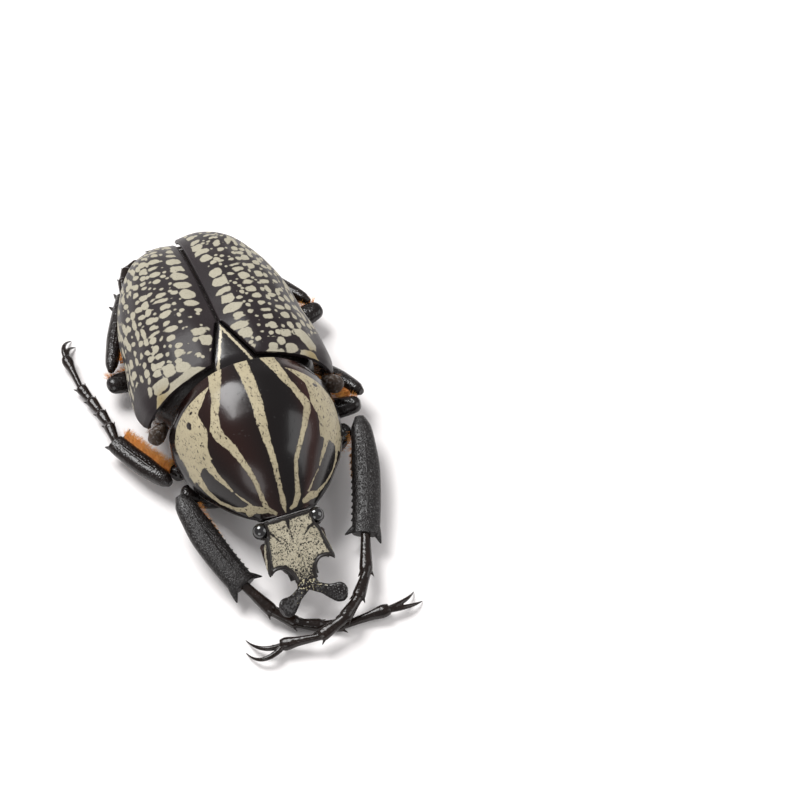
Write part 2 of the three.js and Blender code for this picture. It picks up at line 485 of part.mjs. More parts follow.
// Each leg: name, thigh, shin, foot. The right foreleg passes under the left one in front.
const LEGS = {
  foreleg_right: {
    femur: [[-3, -15, 2.75], [-8, -14.2, 2.6], [-12.6, -12.9, 3.5], [2.0, 1.45], [-2.6, -15.2, 2.3, 1.9, 1.7, 1.5]],
    tibia: [[-12.9, -14.7, 5.1], [-8.5, -30.6, 3], [2.15, 1.2], -0.5, [
      [0.95, -1.4, 2.2, -0.7, -0.6, 0.75], [0.93, 1.4, 1.3, 1.8, 0, 0.6]]],
    tarsus: [[[-5.7, -35.5, 1.9], [-2.9, -38.1, 1.3], [0.4, -39.4, 0.82], [3.5, -40.4, 0.82],
      [10.3, -40.4, 1.5]], 0.9, [
      [[13.2, -40.4, 2.1], [14.9, -38.1, 0.1]], [[13.6, -41.3, 1.7], [15.6, -40, 0.1]]]],
  },
  foreleg_left: {
    femur: [[3, -14.6, 2.75], [9, -12.7, 2.6], [14.8, -9.9, 3.4], [2.0, 1.4], [2.6, -14.9, 2.3, 1.9, 1.7, 1.5]],
    tibia: [[16.4, -10.2, 4.8], [10.9, -28.4, 3.3], [2.15, 1.2], 0.5, [
      [0.95, 1.4, 2.2, 0.7, -0.6, 0.75], [0.93, -1.4, 1.3, -1.8, 0, 0.6]]],
    tarsus: [[[8.8, -34.6, 3.2], [6.3, -38.2, 3.3], [3.3, -40.7, 3.3], [-0.8, -42, 2.6],
      [-6.4, -40.8, 1.5]], 0.9, [
      [[-9.6, -41.6, 1.9], [-10.7, -37.6, 0.1]], [[-10.2, -44, 1.9], [-11.3, -39.6, 0.1]]]],
  },
  midleg_right: {
    femur: [[-4.6, -4.1, 2.5], [-8.8, -6.4, 2.2], [-12.6, -8.9, 2.6], [1.75, 1.3], [-3.6, -4.3, 2.45, 1.8, 1.35, 1.5]],
    tibia: [[-13.6, -10.1, 3.4], [-19, -0.4, 2.8], [1.6, 1.2], 0.2, [
      [0.95, 0.9, 1.5, 0.4, -0.5, 0.5], [0.93, -1, 0.95, -2.4, -0.2, 0.42]]],
    tarsus: [[[-18.9, 3.4, 2.2], [-19.4, 6.3, 1.7], [-20.1, 9.3, 1.3], [-20.9, 12.1, 1.2],
      [-21.5, 18, 1.4]], 0.8, [
      [[-21.9, 20.6, 2], [-19.7, 21.6, 0.1]], [[-21.2, 19.8, 1.7], [-19.4, 20.2, 0.1]]]],
  },
  midleg_left: {
    femur: [[4.6, -4.1, 2.5], [11, -5.4, 2.8], [17.6, -7, 4.5], [1.75, 1.3], [3.6, -4.3, 2.45, 1.8, 1.35, 1.5]],
    tibia: [[18.2, -5, 4.7], [12.8, 4.2, 2], [1.4, 1.15], -0.2, [
      [0.94, -0.9, 1.2, -0.9, -0.3, 0.45], [0.94, 0.9, 1.7, 0.9, -0.2, 0.4]]],
    tarsus: [[[12.3, 7.6, 0.95], [12, 10.2, 0.8], [11.7, 12.8, 0.8], [11.2, 15.2, 0.8],
      [9.8, 20.2, 0.9]], 0.7, [
      [[8.8, 22.1, 1.7], [6.8, 22.2, 0.3]], [[9.3, 22.2, 1.6], [8.4, 23.4, 0.3]]]],
  },
  hindleg_right: {
    femur: [[-4.6, 10.2, 2.15], [-10.5, 10, 2.3], [-17.2, 9.2, 3.6], [1.95, 1.3], [-3.9, 10.1, 2, 2.9, 1.6, 1.15]],
    tibia: [[-15.9, 11.7, 4.3], [-10, 24.6, 3.3], [1.35, 1.15], 0.2, [
      [0.78, 0.5, 0.9, 1.5, 0.1, 0.5], [0.95, 0.8, 1.4, 1, -0.2, 0.45], [0.95, -0.7, 1.7, -0.6, -0.3, 0.4]]],
    tarsus: [[[-9.2, 28.2, 2.8], [-8, 30.3, 2.2], [-5.9, 31.4, 1.5], [-3.4, 30.9, 1], [1.6, 29.2, 0.8]], 0.75, [
      [[3.9, 28.3, 1.6], [4.6, 26.4, 0.3]], [[3.4, 27.8, 1.5], [3, 26, 0.3]]]],
  },
  hindleg_left: {
    femur: [[4.6, 10.2, 2.1], [11, 11, 3], [17.9, 12.4, 3.6], [1.95, 1.2], [3.9, 10.1, 2, 2.9, 1.6, 1.15]],
    tibia: [[16.2, 14.2, 3.9], [8.8, 25.4, 1.6], [1.25, 1.1], -0.2, [
      [0.78, -0.5, 0.9, -1.5, 0.1, 0.5], [0.95, -0.8, 1.4, -1, -0.2, 0.45], [0.95, 0.7, 1.7, 0.6, -0.3, 0.4]]],
    tarsus: [[[7.7, 28.7, 1.5], [6.7, 30.7, 1.2], [5, 31.9, 1], [2.8, 32.3, 0.8], [-0.8, 32.2, 0.8]], 0.75, [
      [[-3, 32.2, 1.7], [-4.4, 33.2, 0.3]], [[-3.1, 32.9, 1.6], [-4, 34.1, 0.3]]]],
  },
};
for (const [name, leg] of Object.entries(LEGS)) {
  add(name + "_femur", femur(...leg.femur), "black");
  add(name + "_tibia", tibia(...leg.tibia), "black");
  add(name + "_tarsus", tarsus(leg.tibia, ...leg.tarsus), "black");
}

export default beetle;
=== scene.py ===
import bpy
import math
import numpy as np
from mathutils import Matrix, Vector


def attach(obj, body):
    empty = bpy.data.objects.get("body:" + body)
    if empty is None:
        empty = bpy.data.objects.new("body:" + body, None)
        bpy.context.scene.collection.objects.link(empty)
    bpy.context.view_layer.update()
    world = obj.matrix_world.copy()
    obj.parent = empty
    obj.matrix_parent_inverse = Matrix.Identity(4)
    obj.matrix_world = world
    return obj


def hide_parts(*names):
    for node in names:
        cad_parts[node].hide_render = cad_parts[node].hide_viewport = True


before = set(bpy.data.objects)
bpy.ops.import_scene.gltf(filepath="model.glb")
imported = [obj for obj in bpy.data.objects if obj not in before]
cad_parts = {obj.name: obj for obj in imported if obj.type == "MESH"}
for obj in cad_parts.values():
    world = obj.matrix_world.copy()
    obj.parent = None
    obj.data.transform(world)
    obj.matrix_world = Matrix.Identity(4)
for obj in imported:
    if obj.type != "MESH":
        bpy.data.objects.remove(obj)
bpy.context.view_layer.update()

# View, ground and light. The camera looks down on the beetle from its front right at 56 degrees, with a
# long lens. A matt white board lies under it, and one broad soft lamp with paler ones round it give even
# studio light.
MM = 0.001
UNIT = 0.067 / 69.3  # metres for one millimetre of the drawing that all stations below are read from
VIEW = {"azimuth": -19.77, "elevation": 56.0, "roll": 0.14, "distance": 454.9 * UNIT, "focal": 3000.0}
PICTURE = 800  # pixels each way
ORIGIN_AT = (236.1, 415.8)  # the pixel in which the origin shows
FILM = 36  # width of the camera's sensor in mm
BOARD_REACH = 1.5  # metres from the origin to its edges
# Lamps: place, what each is aimed at, size in metres and watts.
LAMPS = {
    "key": ((-0.12, 0.26, 0.42), (0, -0.01, 0), 0.26, 2.9),
    "fill": ((0.40, -0.16, 0.30), (0, 0, 0), 0.36, 0.9),
    "front": ((-0.26, -0.34, 0.22), (0, -0.02, 0), 0.24, 0.45),
}
scene = bpy.context.scene
scene.view_settings.view_transform = "Standard"


def add_object(name, data):
    made = bpy.data.objects.new(name, data)
    scene.collection.objects.link(made)
    return made


az, el, roll = (math.radians(VIEW[k]) for k in ("azimuth", "elevation", "roll"))
back = Vector((math.sin(az) * math.cos(el), -math.cos(az) * math.cos(el), math.sin(el)))
level = Vector((math.cos(az), math.sin(az), 0))
upright = back.cross(level)
right = level * math.cos(roll) + upright * math.sin(roll)
up = back.cross(right)
left_of_middle, above_middle = ORIGIN_AT[0] - PICTURE / 2, PICTURE / 2 - ORIGIN_AT[1]
offset = Vector((left_of_middle / VIEW["focal"], above_middle / VIEW["focal"], -1)) * VIEW["distance"]
eye_point = -(right * offset.x + up * offset.y + back * offset.z)
camera = add_object("camera", bpy.data.cameras.new("camera"))
camera.data.sensor_width = FILM
camera.data.lens = FILM * VIEW["focal"] / PICTURE
camera.data.clip_start = 0.01
camera.matrix_world = Matrix.Translation(eye_point) @ Matrix((right, up, back)).transposed().to_4x4()
scene.camera = camera


def linear(colour):
    """An sRGB hex colour as linear RGBA."""
    parts = [int(colour[i:i + 2], 16) / 255 for i in (1, 3, 5)]
    return [c / 12.92 if c <= 0.04045 else ((c + 0.055) / 1.055) ** 2.4 for c in parts] + [1.0]


def feed(tree, socket, value):
    """Gives an input a value, a hex colour, another node's socket or, for a node, its first live output."""
    if isinstance(value, bpy.types.Node):
        value = next(output for output in value.outputs if output.enabled)
    if isinstance(value, bpy.types.NodeSocket):
        tree.links.new(value, socket)
    else:
        socket.default_value = linear(value) if str(value).startswith("#") else value


def add(tree, kind, inputs=None, **settings):
    """Adds a node with its settings, and feeds its inputs."""
    made = tree.nodes.new(kind)
    for key, value in settings.items():
        setattr(made, key, value)
    for key, value in (inputs or {}).items():
        feed(tree, made.inputs[key], value)
    return made


def material(name, **values):
    """A new material, its node tree and its Object coordinates. Its shader takes the values given."""
    made = bpy.data.materials.new(name)
    made.use_nodes = True
    tree = made.node_tree
    for key, value in values.items():
        feed(tree, tree.nodes["Principled BSDF"].inputs[key.replace("_", " ")], value)
    return made, tree, add(tree, "ShaderNodeTexCoord").outputs["Object"]


def finish(tree, colour=None, rough=None, height=None, strength=1.0, depth=0.05, **settings):
    """Feeds a material's shader its colour, roughness and a bump `depth` mm deep, where they are given."""
    sources = {"Base Color": colour, "Roughness": rough}
    if height:
        shape = {"Height": height, "Strength": strength, "Distance": depth * MM}
        sources["Normal"] = add(tree, "ShaderNodeBump", shape, **settings)
    for key, source in sources.items():
        if source:
            feed(tree, tree.nodes["Principled BSDF"].inputs[key], source)


for name, (place, aim, size, watts) in LAMPS.items():
    lamp = add_object(name, bpy.data.lights.new(name, "AREA"))
    lamp.data.shape = "SQUARE"
    lamp.data.size = size
    lamp.data.energy = watts
    lamp.location = place
    lamp.rotation_euler = (Vector(aim) - Vector(place)).to_track_quat("-Z", "Y").to_euler()
scene.world = bpy.data.worlds.new("studio")
scene.world.use_nodes = True
studio = scene.world.node_tree
feed(studio, studio.nodes["Background"].inputs["Color"], "#fbf9fa")
feed(studio, studio.nodes["Background"].inputs["Strength"], 0.42)

board_paper, tree, place = material("paper board, matt", Base_Color="#f6f3f2", Roughness=0.85)
fibre = add(tree, "ShaderNodeTexNoise", {"Vector": place, "Scale": 1 / (1.2 * MM), "Detail": 4.0})
finish(tree, height=fibre, strength=0.15, depth=0.05)
ground = bpy.data.meshes.new("board")
corners = [(x * BOARD_REACH, y * BOARD_REACH, 0) for x, y in ((-1, -1), (1, -1), (1, 1), (-1, 1))]
ground.from_pydata(corners, [], [(0, 1, 2, 3)])
ground.materials.append(board_paper)
add_object("board", ground)

# The pronotum: one domed plate of hard black-brown cuticle over the fore body, polished and sparsely
# pricked, with cream stripes of fine powdery scales. It is lofted through rings from the head end to the
# rear margin.
PRONOTUM = {
    "half_width": [(-23.8, 4.4), (-22.4, 5.9), (-20.5, 7.6), (-18.5, 9.1), (-16.5, 10.5), (-13, 12),
                   (-9, 12.7), (-6.5, 12.5), (-4.6, 11.5)],
    "top": [(-23.8, 9.6), (-21, 13.4), (-17, 16.6), (-12, 18.5), (-8, 18.9), (-4.6, 18)],
    "edge": [(-23.8, 8), (-20, 6.9), (-14, 6.4), (-8, 6.8), (-4.6, 8.2)],
    "bottom": [(-23.8, 5.8), (-20, 4.6), (-14, 4.1), (-8, 4), (-4.6, 4.4)],
    "bulge": [(-23.8, -1), (-14, 0), (-4.6, 1.6)],
    "tuck": [(-23.8, 2.6), (-17, 0.6), (-12, 0), (-4.6, 0)],
}
FRONT, REAR = -23.8, -4.6
PRONOTUM_SHIFT = 0.5  # it has dried a little to the beetle's left
PRONOTUM_POWER = (2.3, 1.9)  # how full its arch is, where (2, 2) is round
PRONOTUM_STEPS = 230  # points over the top of a ring
BEAD = {"height": 0.16, "at": 0.995, "width": 0.012}  # the fine raised bead along the side edge
MARGIN_TURNS = (0.5, 0.9, 1.3)  # radians by which rings turn in at a round margin
MARGIN_REACH = 0.8  # how far out they bulge, as a share of the margin's depth
OUTSIDE = -2  # a marking's distance where there is none


def profile(stations):
    """A smooth function through stations (place, value) that never overshoots them."""
    x, v = np.array(stations, float).T
    slope = np.diff(v) / np.diff(x)
    tangent = np.concatenate([[slope[0]], np.zeros(len(x) - 2), [slope[-1]]])
    for i in range(1, len(x) - 1):
        if slope[i - 1] * slope[i] > 0:
            tangent[i] = 2 * slope[i - 1] * slope[i] / (slope[i - 1] + slope[i])

    def at(place):
        p = np.clip(np.asarray(place, float), x[0], x[-1])
        i = np.clip(np.searchsorted(x, p, side="right") - 1, 0, len(x) - 2)
        h = x[i + 1] - x[i]
        t = (p - x[i]) / h
        return ((2 * t**3 - 3 * t**2 + 1) * v[i] + (t**3 - 2 * t**2 + t) * h * tangent[i]
                + (3 * t**2 - 2 * t**3) * v[i + 1] + (t**3 - t**2) * h * tangent[i + 1])
    return at


def points_of(*coordinates):
    """Points from coordinates, each a single value or an array."""
    return np.stack(np.broadcast_arrays(*coordinates), -1)


def unit(vectors):
    return vectors / np.linalg.norm(vectors, axis=-1, keepdims=True)


def crowded(start, end, count, depth):
    """Places from start to end that lie closer together near both ends."""
    t = np.linspace(-depth, depth, count)
    return start + (end - start) * (np.sin(t) / math.sin(depth) + 1) / 2


def arch(across, y, half_width, edge, crown, power, bulge):
    """Points of half a body section at `across` from -1 to 1 of its half width."""
    lift = np.clip(1 - np.abs(across) ** power[0], 0, None) ** (1 / power[1])
    return points_of(across * half_width, y + bulge * (1 - across**2), edge + (crown - edge) * lift)


def body_rings(rows, top, bottom, steps, bulge=lambda y: 0, tuck=lambda y: 0):
    """Rings round the body: over the top from the left edge to the right, and back under the belly."""
    across = np.cos(np.pi * np.arange(steps) / steps)
    rings = []
    for y in rows:
        half_width, edge, crown, power = top(y)
        upper = arch(across, y, half_width, edge, crown, power, bulge(y))
        lower = arch(-across, y, half_width, edge, bottom(y), (2, 1.5), bulge(y) + tuck(y))
        rings.append(np.concatenate([upper, lower]))
    return np.array(rings)


def loft(rings):
    """A closed skin through rings of points, capped at both ends: (vertices, faces)."""
    count, sides = rings.shape[:2]
    r, k = np.meshgrid(np.arange(count - 1), np.arange(sides), indexing="ij")
    a = (r * sides + k).ravel()
    b = (r * sides + (k + 1) % sides).ravel()
    faces = np.stack([a, b, b + sides, a + sides], -1).tolist()
    points = np.concatenate([rings.reshape(-1, 3), rings[:1].mean(1), rings[-1:].mean(1)])
    first, last = len(points) - 2, len(points) - 1
    k = np.arange(sides)
    faces += np.stack([(k + 1) % sides, k, np.full(sides, first)], -1).tolist()
    end = (count - 1) * sides
    faces += np.stack([end + k, end + (k + 1) % sides, np.full(sides, last)], -1).tolist()
    return points, faces


def rounded_ends(rings, depth):
    """Adds rings that turn the open ends in over `depth`, so that the margins are round."""
    def cap(ring, towards):
        centre = ring.mean(0)
        away = unit(centre - towards.mean(0))
        reach = np.linalg.norm(ring - centre, axis=1, keepdims=True)
        turned = []
        for a in MARGIN_TURNS:
            shrink = 1 - depth * (1 - math.cos(a)) / reach
            turned.append(centre + (ring - centre) * shrink + away * depth * math.sin(a) * MARGIN_REACH)
        return turned

    return np.array(cap(rings[0], rings[1])[::-1] + list(rings) + cap(rings[-1], rings[-2]))


def shell_piece(name, shape, skin, node, marks=None):
    """A smooth piece from (points, faces) in drawn mm. It stands for a CAD node and rides on the body."""
    points, faces = shape
    mesh = bpy.data.meshes.new(name)
    mesh.from_pydata((np.asarray(points) * UNIT).tolist(), [], faces)
    mesh.update()
    corners = [mesh.vertices[i].co for p in mesh.polygons for i in p.vertices[:3]]
    a, b, c = np.array(corners).reshape(-1, 3, 3).transpose(1, 0, 2)
    if np.einsum("ij,ij->i", a, np.cross(b, c)).sum() < 0:
        mesh.flip_normals()
    mesh.shade_smooth()
    for key, values in (marks or {}).items():
        mesh.attributes.new(key, "FLOAT", "POINT").data.foreach_set("value", np.asarray(values, np.float32))
    mesh.materials.append(skin)
    piece = add_object(name, mesh)
    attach(piece, "root")
    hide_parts(node)


pronotum = {key: profile(stations) for key, stations in PRONOTUM.items()}


def pronotum_top(y):
    return pronotum["half_width"](y), pronotum["edge"](y), pronotum["top"](y), PRONOTUM_POWER


def pronotum_point(across, y):
    """The outer face of the pronotum at `across` from -1 to 1, row y."""
    return arch(across, y, *pronotum_top(y), pronotum["bulge"](y)) + np.array([PRONOTUM_SHIFT, 0, 0])


# Stripes of cream scales: centre lines as (across, row, half width in mm). The beetle's left side is at 1.
STRIPES = [
    [(-0.107, -23.7, 0.08), (-0.09, -22.8, 0.42), (-0.07, -21.8, 0.3), (-0.035, -19.2, 0.4),
     (-0.035, -16.3, 0.52), (-0.03, -14.7, 0.68), (-0.018, -13, 0.8), (0, -11.4, 0.85),
     (0, -8, 0.95), (0, -4.4, 1.0)],
    [(0.1, -23.5, 0.25), (0.226, -23.3, 0.38), (0.327, -22.6, 0.42), (0.317, -20.5, 0.3), (0.34, -19.3, 0.3),
     (0.386, -18.2, 0.34), (0.498, -15.6, 0.42), (0.585, -12.7, 0.66), (0.57, -11.9, 0.8), (0.52, -11, 0.65),
     (0.48, -10, 0.55), (0.41, -8.6, 0.7), (0.366, -6.4, 0.95), (0.35, -4.4, 1.1)],
    [(-0.42, -23.6, 0.3), (-0.56, -23, 0.42), (-0.53, -22.2, 0.35), (-0.466, -20.7, 0.33),
     (-0.452, -18.9, 0.38), (-0.471, -17.3, 0.48), (-0.489, -15.5, 0.62), (-0.55, -13.6, 0.8),
     (-0.56, -12.2, 0.85), (-0.5, -10.6, 0.6), (-0.42, -8.6, 0.7), (-0.37, -6.4, 0.95), (-0.35, -4.4, 1.1)],
    [(0.54, -23.2, 0.45), (0.7, -22.9, 0.62), (0.86, -22.8, 0.5)],
    [(0.895, -22.4, 0.35), (0.965, -21.2, 0.22), (0.985, -19.4, 0.2), (0.982, -17.8, 0.3),
     (0.96, -16.3, 0.7), (0.94, -15, 1.1)],
    [(0.82, -15.2, 0.8), (0.812, -16.6, 0.6), (0.806, -17.6, 0.44), (0.79, -18.6, 0.34),
     (0.772, -19.7, 0.16)],
    [(0.765, -20.1, 0.08), (0.706, -21.2, 0.1), (0.62, -22.4, 0.16)],
    [(-0.55, -23.1, 0.45), (-0.7, -22.9, 0.6), (-0.86, -22.4, 0.75), (-0.95, -22.6, 0.5)],
    [(-0.9, -22.2, 0.5), (-0.97, -21.2, 0.34), (-0.985, -19, 0.3), (-0.975, -17, 0.5), (-0.955, -15.2, 0.9),
     (-0.93, -13.6, 1.3)],
    [(-0.8, -13.6, 1.0), (-0.815, -15.2, 0.8), (-0.822, -17, 0.55), (-0.827, -18.2, 0.4),
     (-0.829, -19.5, 0.2)],
    [(-0.825, -20, 0.08), (-0.815, -20.8, 0.12), (-0.79, -21.9, 0.2)],
]
# The broad band at each side: its inner and outer edge as (row, across).
BANDS = [
    (1, [(-16.4, 0.72), (-14, 0.712), (-11.9, 0.644), (-9.3, 0.64), (-8, 0.57), (-7, 0.5), (-6.4, 0.44)],
     [(-16.4, 0.99), (-13, 0.985), (-9.5, 0.95), (-8.1, 0.84), (-7.2, 0.66), (-6.4, 0.4)]),
    (-1, [(-15, 0.75), (-13.8, 0.728), (-11.5, 0.64), (-9, 0.656), (-8, 0.57), (-7, 0.5), (-6.2, 0.44)],
     [(-15, 0.985), (-11.5, 0.965), (-9.2, 0.966), (-7.4, 0.915), (-6.7, 0.78), (-6.4, 0.56), (-6.2, 0.4)]),
]
# Small dark spots inside the bands: across, row, half size across and along in mm.
BAND_SPOTS = [(0.76, -8.8, 0.55, 0.28), (-0.78, -9.2, 0.5, 0.62), (-0.72, -7.9, 0.3, 0.2)]


def inside_line(points, line, widths):
    """How far inside a line with half widths each point lies, in mm. Outside it is negative."""
    best = np.full(len(points), -99.0)
    for a, b, wa, wb in zip(line[:-1], line[1:], widths[:-1], widths[1:]):
        along = b - a
        t = np.clip((points - a) @ along / (along @ along), 0, 1)
        gap = np.linalg.norm(points - a - t[:, None] * along, axis=1)
        best = np.maximum(best, wa + (wb - wa) * t - gap)
    return best


def pronotum_cream(points, across, rows):
    inside = np.full(len(points), -99.0)
    for a, y, widths in (np.array(stripe, float).T for stripe in STRIPES):
        inside = np.maximum(inside, inside_line(points, pronotum_point(a, y), widths))
    girth = pronotum["half_width"](rows) * 1.35
    for side, inner, outer in BANDS:
        lean = across * side
        band = np.minimum(lean - profile(inner)(rows), profile(outer)(rows) - lean) * girth
        band = np.minimum(band, rows - inner[0][0])
        inside = np.maximum(inside, np.minimum(band, (outer[-1][0] - rows) * 1.5))
    for a, y, wide, long in BAND_SPOTS:
        off = (points - pronotum_point(a, y)) / [wide, long, wide]
        inside = np.minimum(inside, (np.linalg.norm(off, axis=1) - 1) * min(wide, long))
    return inside


pronotum_rows = crowded(FRONT, REAR, 170, 1.25)
rings = body_rings(pronotum_rows, pronotum_top, pronotum["bottom"], PRONOTUM_STEPS, pronotum["bulge"],
                   pronotum["tuck"])
rings += np.array([PRONOTUM_SHIFT, 0, 0])
over = np.cos(np.pi * np.arange(PRONOTUM_STEPS) / PRONOTUM_STEPS)
bead = np.exp(-((np.abs(over) - BEAD["at"]) / BEAD["width"]) ** 2) * BEAD["height"]
rings[:, :PRONOTUM_STEPS] += points_of(bead * np.sign(over), 0, bead * 0.6)
rings = rounded_ends(rings, 0.32)
points, faces = loft(rings)
across = np.tile(np.concatenate([over, -over]), len(rings))
caps = len(MARGIN_TURNS)
rows = np.repeat(np.concatenate([[FRONT] * caps, pronotum_rows, [REAR] * caps]), 2 * PRONOTUM_STEPS)
upper = np.tile(np.arange(2 * PRONOTUM_STEPS) < PRONOTUM_STEPS, len(rings))
cream = np.append(np.where(upper, pronotum_cream(points[:-2], across, rows), OUTSIDE), [OUTSIDE] * 2)
warmth = 0.6 * np.exp(-((across + 0.45) / 0.3) ** 2) + np.exp(-((across - 0.62) / 0.12) ** 2)
warmth = np.append(warmth, [0, 0])


def ragged_marking(tree, place, grain, sway, edge, detail=4.0, rough=0.5):
    """1 in the piece's cream marking and 0 outside. Its edge wanders by `sway` mm in noise of `grain` mm."""
    inside = add(tree, "ShaderNodeAttribute", attribute_name="cream").outputs["Fac"]
    wander = add(tree, "ShaderNodeTexNoise", {"Vector": place, "Scale": 1 / (grain * MM), "Detail": detail,
                                              "Roughness": rough})
    centred = add(tree, "ShaderNodeMath", {0: wander, 1: -0.5}, operation="ADD")
    reach = add(tree, "ShaderNodeMath", {0: centred, 1: sway, 2: inside}, operation="MULTIPLY_ADD")
    return add(tree, "ShaderNodeMapRange", {"Value": reach, "From Min": edge[0], "From Max": edge[1]})


# Polished chitin: a clear dark gloss with a warm brown sheen, dulled where the cream scales lie on it.
cuticle, tree, place = material("chitin cuticle, black brown, polished", Roughness=0.2, IOR=1.56,
                                Specular_IOR_Level=0.26, Coat_Weight=0.12, Coat_Roughness=0.06)
warm = add(tree, "ShaderNodeAttribute", attribute_name="warmth").outputs["Fac"]
marking = ragged_marking(tree, place, 0.7, 0.55, (-0.05, 0.06), 5.0, 0.65)
# Flecks where the powder is rubbed off, about 0.2 mm, drawn out along the body.
stretched = add(tree, "ShaderNodeMapping", {"Vector": place, "Scale": (1, 0.5, 1)})
fleck = add(tree, "ShaderNodeTexNoise", {"Vector": stretched, "Scale": 1 / (0.28 * MM), "Detail": 6.0,
                                         "Roughness": 0.75, "Distortion": 0.6})
worn = add(tree, "ShaderNodeMapRange", {"Value": fleck, "From Min": 0.6, "From Max": 0.555})
powder = add(tree, "ShaderNodeMath", {0: marking, 1: worn}, operation="MULTIPLY")
tint = add(tree, "ShaderNodeTexNoise", {"Vector": place, "Scale": 1 / (4.5 * MM), "Detail": 3.0})
dark = add(tree, "ShaderNodeMix", {0: warm, 6: "#0c0808", 7: "#2a120d"}, data_type="RGBA")
dust = add(tree, "ShaderNodeMix", {0: tint, 6: "#8c8269", 7: "#b9ae90"}, data_type="RGBA")
shade = add(tree, "ShaderNodeMix", {0: powder, 6: dark, 7: dust}, data_type="RGBA")
dull = add(tree, "ShaderNodeMapRange", {"Value": powder, "To Min": 0.2, "To Max": 0.62})
pricks = add(tree, "ShaderNodeTexVoronoi", {"Vector": place, "Scale": 1 / (0.75 * MM), "Randomness": 1.0})
pit = add(tree, "ShaderNodeMapRange", {"Value": pricks, "From Min": 0.05, "From Max": 0.16})
raised = add(tree, "ShaderNodeMath", {0: powder, 1: 0.6, 2: pit}, operation="MULTIPLY_ADD")
grainy = add(tree, "ShaderNodeMath", {0: fleck, 1: 0.35, 2: raised}, operation="MULTIPLY_ADD")
finish(tree, shade, dull, grainy, 0.45, 0.05)
shell_piece("pronotum_skin", (points, faces), cuticle, "pronotum",
            {"cream": cream, "warmth": warmth})

# The wing cases: two stiff, slightly domed shells that meet at the suture. Their cuticle is velvety
# charcoal brown, with rows of cream spots. Each is a grid from suture to side edge, given a wall and round
# margins.
ELYTRA = {
    "half_width": [(-3.6, 14.1), (-2.4, 14.9), (0, 15.3), (4, 15.1), (9, 14.3), (14, 13.8), (19, 12.6),
                   (24, 10.6), (27.5, 8.4), (29.6, 5.7), (30.6, 3.2), (30.9, 1.4)],
    "top": [(-3.6, 16.2), (0, 17.3), (5, 17.2), (10, 16.1), (15, 14.7), (20, 12.9), (25, 10.5), (28, 8.5),
            (30, 6.4), (30.9, 5.1)],
    "edge": [(-3.6, 8.2), (0, 7.2), (6, 6.6), (15, 6.1), (25, 5.2), (30.9, 4.4)],
}
SEAM = 0.31  # gap at the suture and beside the scutellum
ELYTRON_THICKNESS = 0.8
ELYTRON_BASE = {"inner": -1.2, "outer": -3.4, "humerus": 13.6}
SCUTELLUM = {"base": -2.3, "tip": 6.4, "half_width": 3.4, "thickness": 1.1}
LEFT_LIFT = 1.2  # the left wing case gapes a little
SUTURE_DIP = {"depth": 0.9, "width": 2.4}
# Swellings at the shoulder and near the tip: across, row, half width, half length, height.
BOSSES = [(11.4, 0.6, 1.7, 2.4, 0.55), (6.6, 25.6, 2.1, 2.2, 0.6)]
ELYTRON_SPAN = (-3.4, 30.9)
ELYTRON_ROWS, ELYTRON_COLUMNS = 230, 140
MARGIN_RADIUS = 0.3  # of the round margins
SIDES = {"left": 1, "right": -1}
SPOT_SEEDS = {"left": 11, "right": 23}
elytra = {key: profile(stations) for key, stations in ELYTRA.items()}


def elytra_height(x, y):
    across = np.minimum(np.abs(x) / elytra["half_width"](y), 1)
    dome = np.sqrt(np.clip(1 - across**2.5, 0, None))
    rise = -SUTURE_DIP["depth"] * np.exp(-((x / SUTURE_DIP["width"]) ** 2))
    for bx, by, rx, ry, height in BOSSES:
        rise = rise + height * np.exp(-(((np.abs(x) - bx) / rx) ** 2) - ((y - by) / ry) ** 2)
    return elytra["edge"](y) + (elytra["top"](y) - elytra["edge"](y)) * dome + rise * dome


def elytron_inner(y):
    """Where a wing case starts at row y: on its slanting base, beside the scutellum or at the suture."""
    beside = SCUTELLUM["half_width"] * (1 - (y - SCUTELLUM["base"]) / (SCUTELLUM["tip"] - SCUTELLUM["base"]))
    suture = np.maximum(beside, 0) + SEAM / 2 + np.where(beside > 0, SEAM, 0)
    slant = (y - ELYTRON_BASE["inner"]) / (ELYTRON_BASE["outer"] - ELYTRON_BASE["inner"])
    return np.where(y > ELYTRON_BASE["inner"], suture, suture + (ELYTRON_BASE["humerus"] - suture) * slant)


# Rows of spots from the suture outwards: place as a share of the girth, half width, half length, gap,
# squareness.
SPOT_ROWS = [(0.15, 1.2, 0.86, 0.42, 3.0), (0.27, 0.3, 0.28, 1.1, 2), (0.36, 0.78, 0.52, 0.62, 2.4),
             (0.44, 0.34, 0.34, 0.8, 2), (0.505, 0.6, 0.62, 0.5, 2.4), (0.575, 0.44, 0.6, 0.55, 2.2),
             (0.64, 0.46, 0.85, 0.45, 2.2), (0.705, 0.36, 0.75, 0.5, 2.2), (0.765, 0.5, 1.2, 0.4, 2.3),
             (0.83, 0.36, 1.1, 0.45, 2.2), (0.89, 0.42, 1.4, 0.4, 2.3), (0.95, 0.26, 1.5, 0.4, 2.2)]
SPOT_SPAN = (0.3, 29.8)
DOTS = {"tries": 600, "gap": 0.24, "least": 0.14, "half_width": 0.42, "half_length": 0.4}
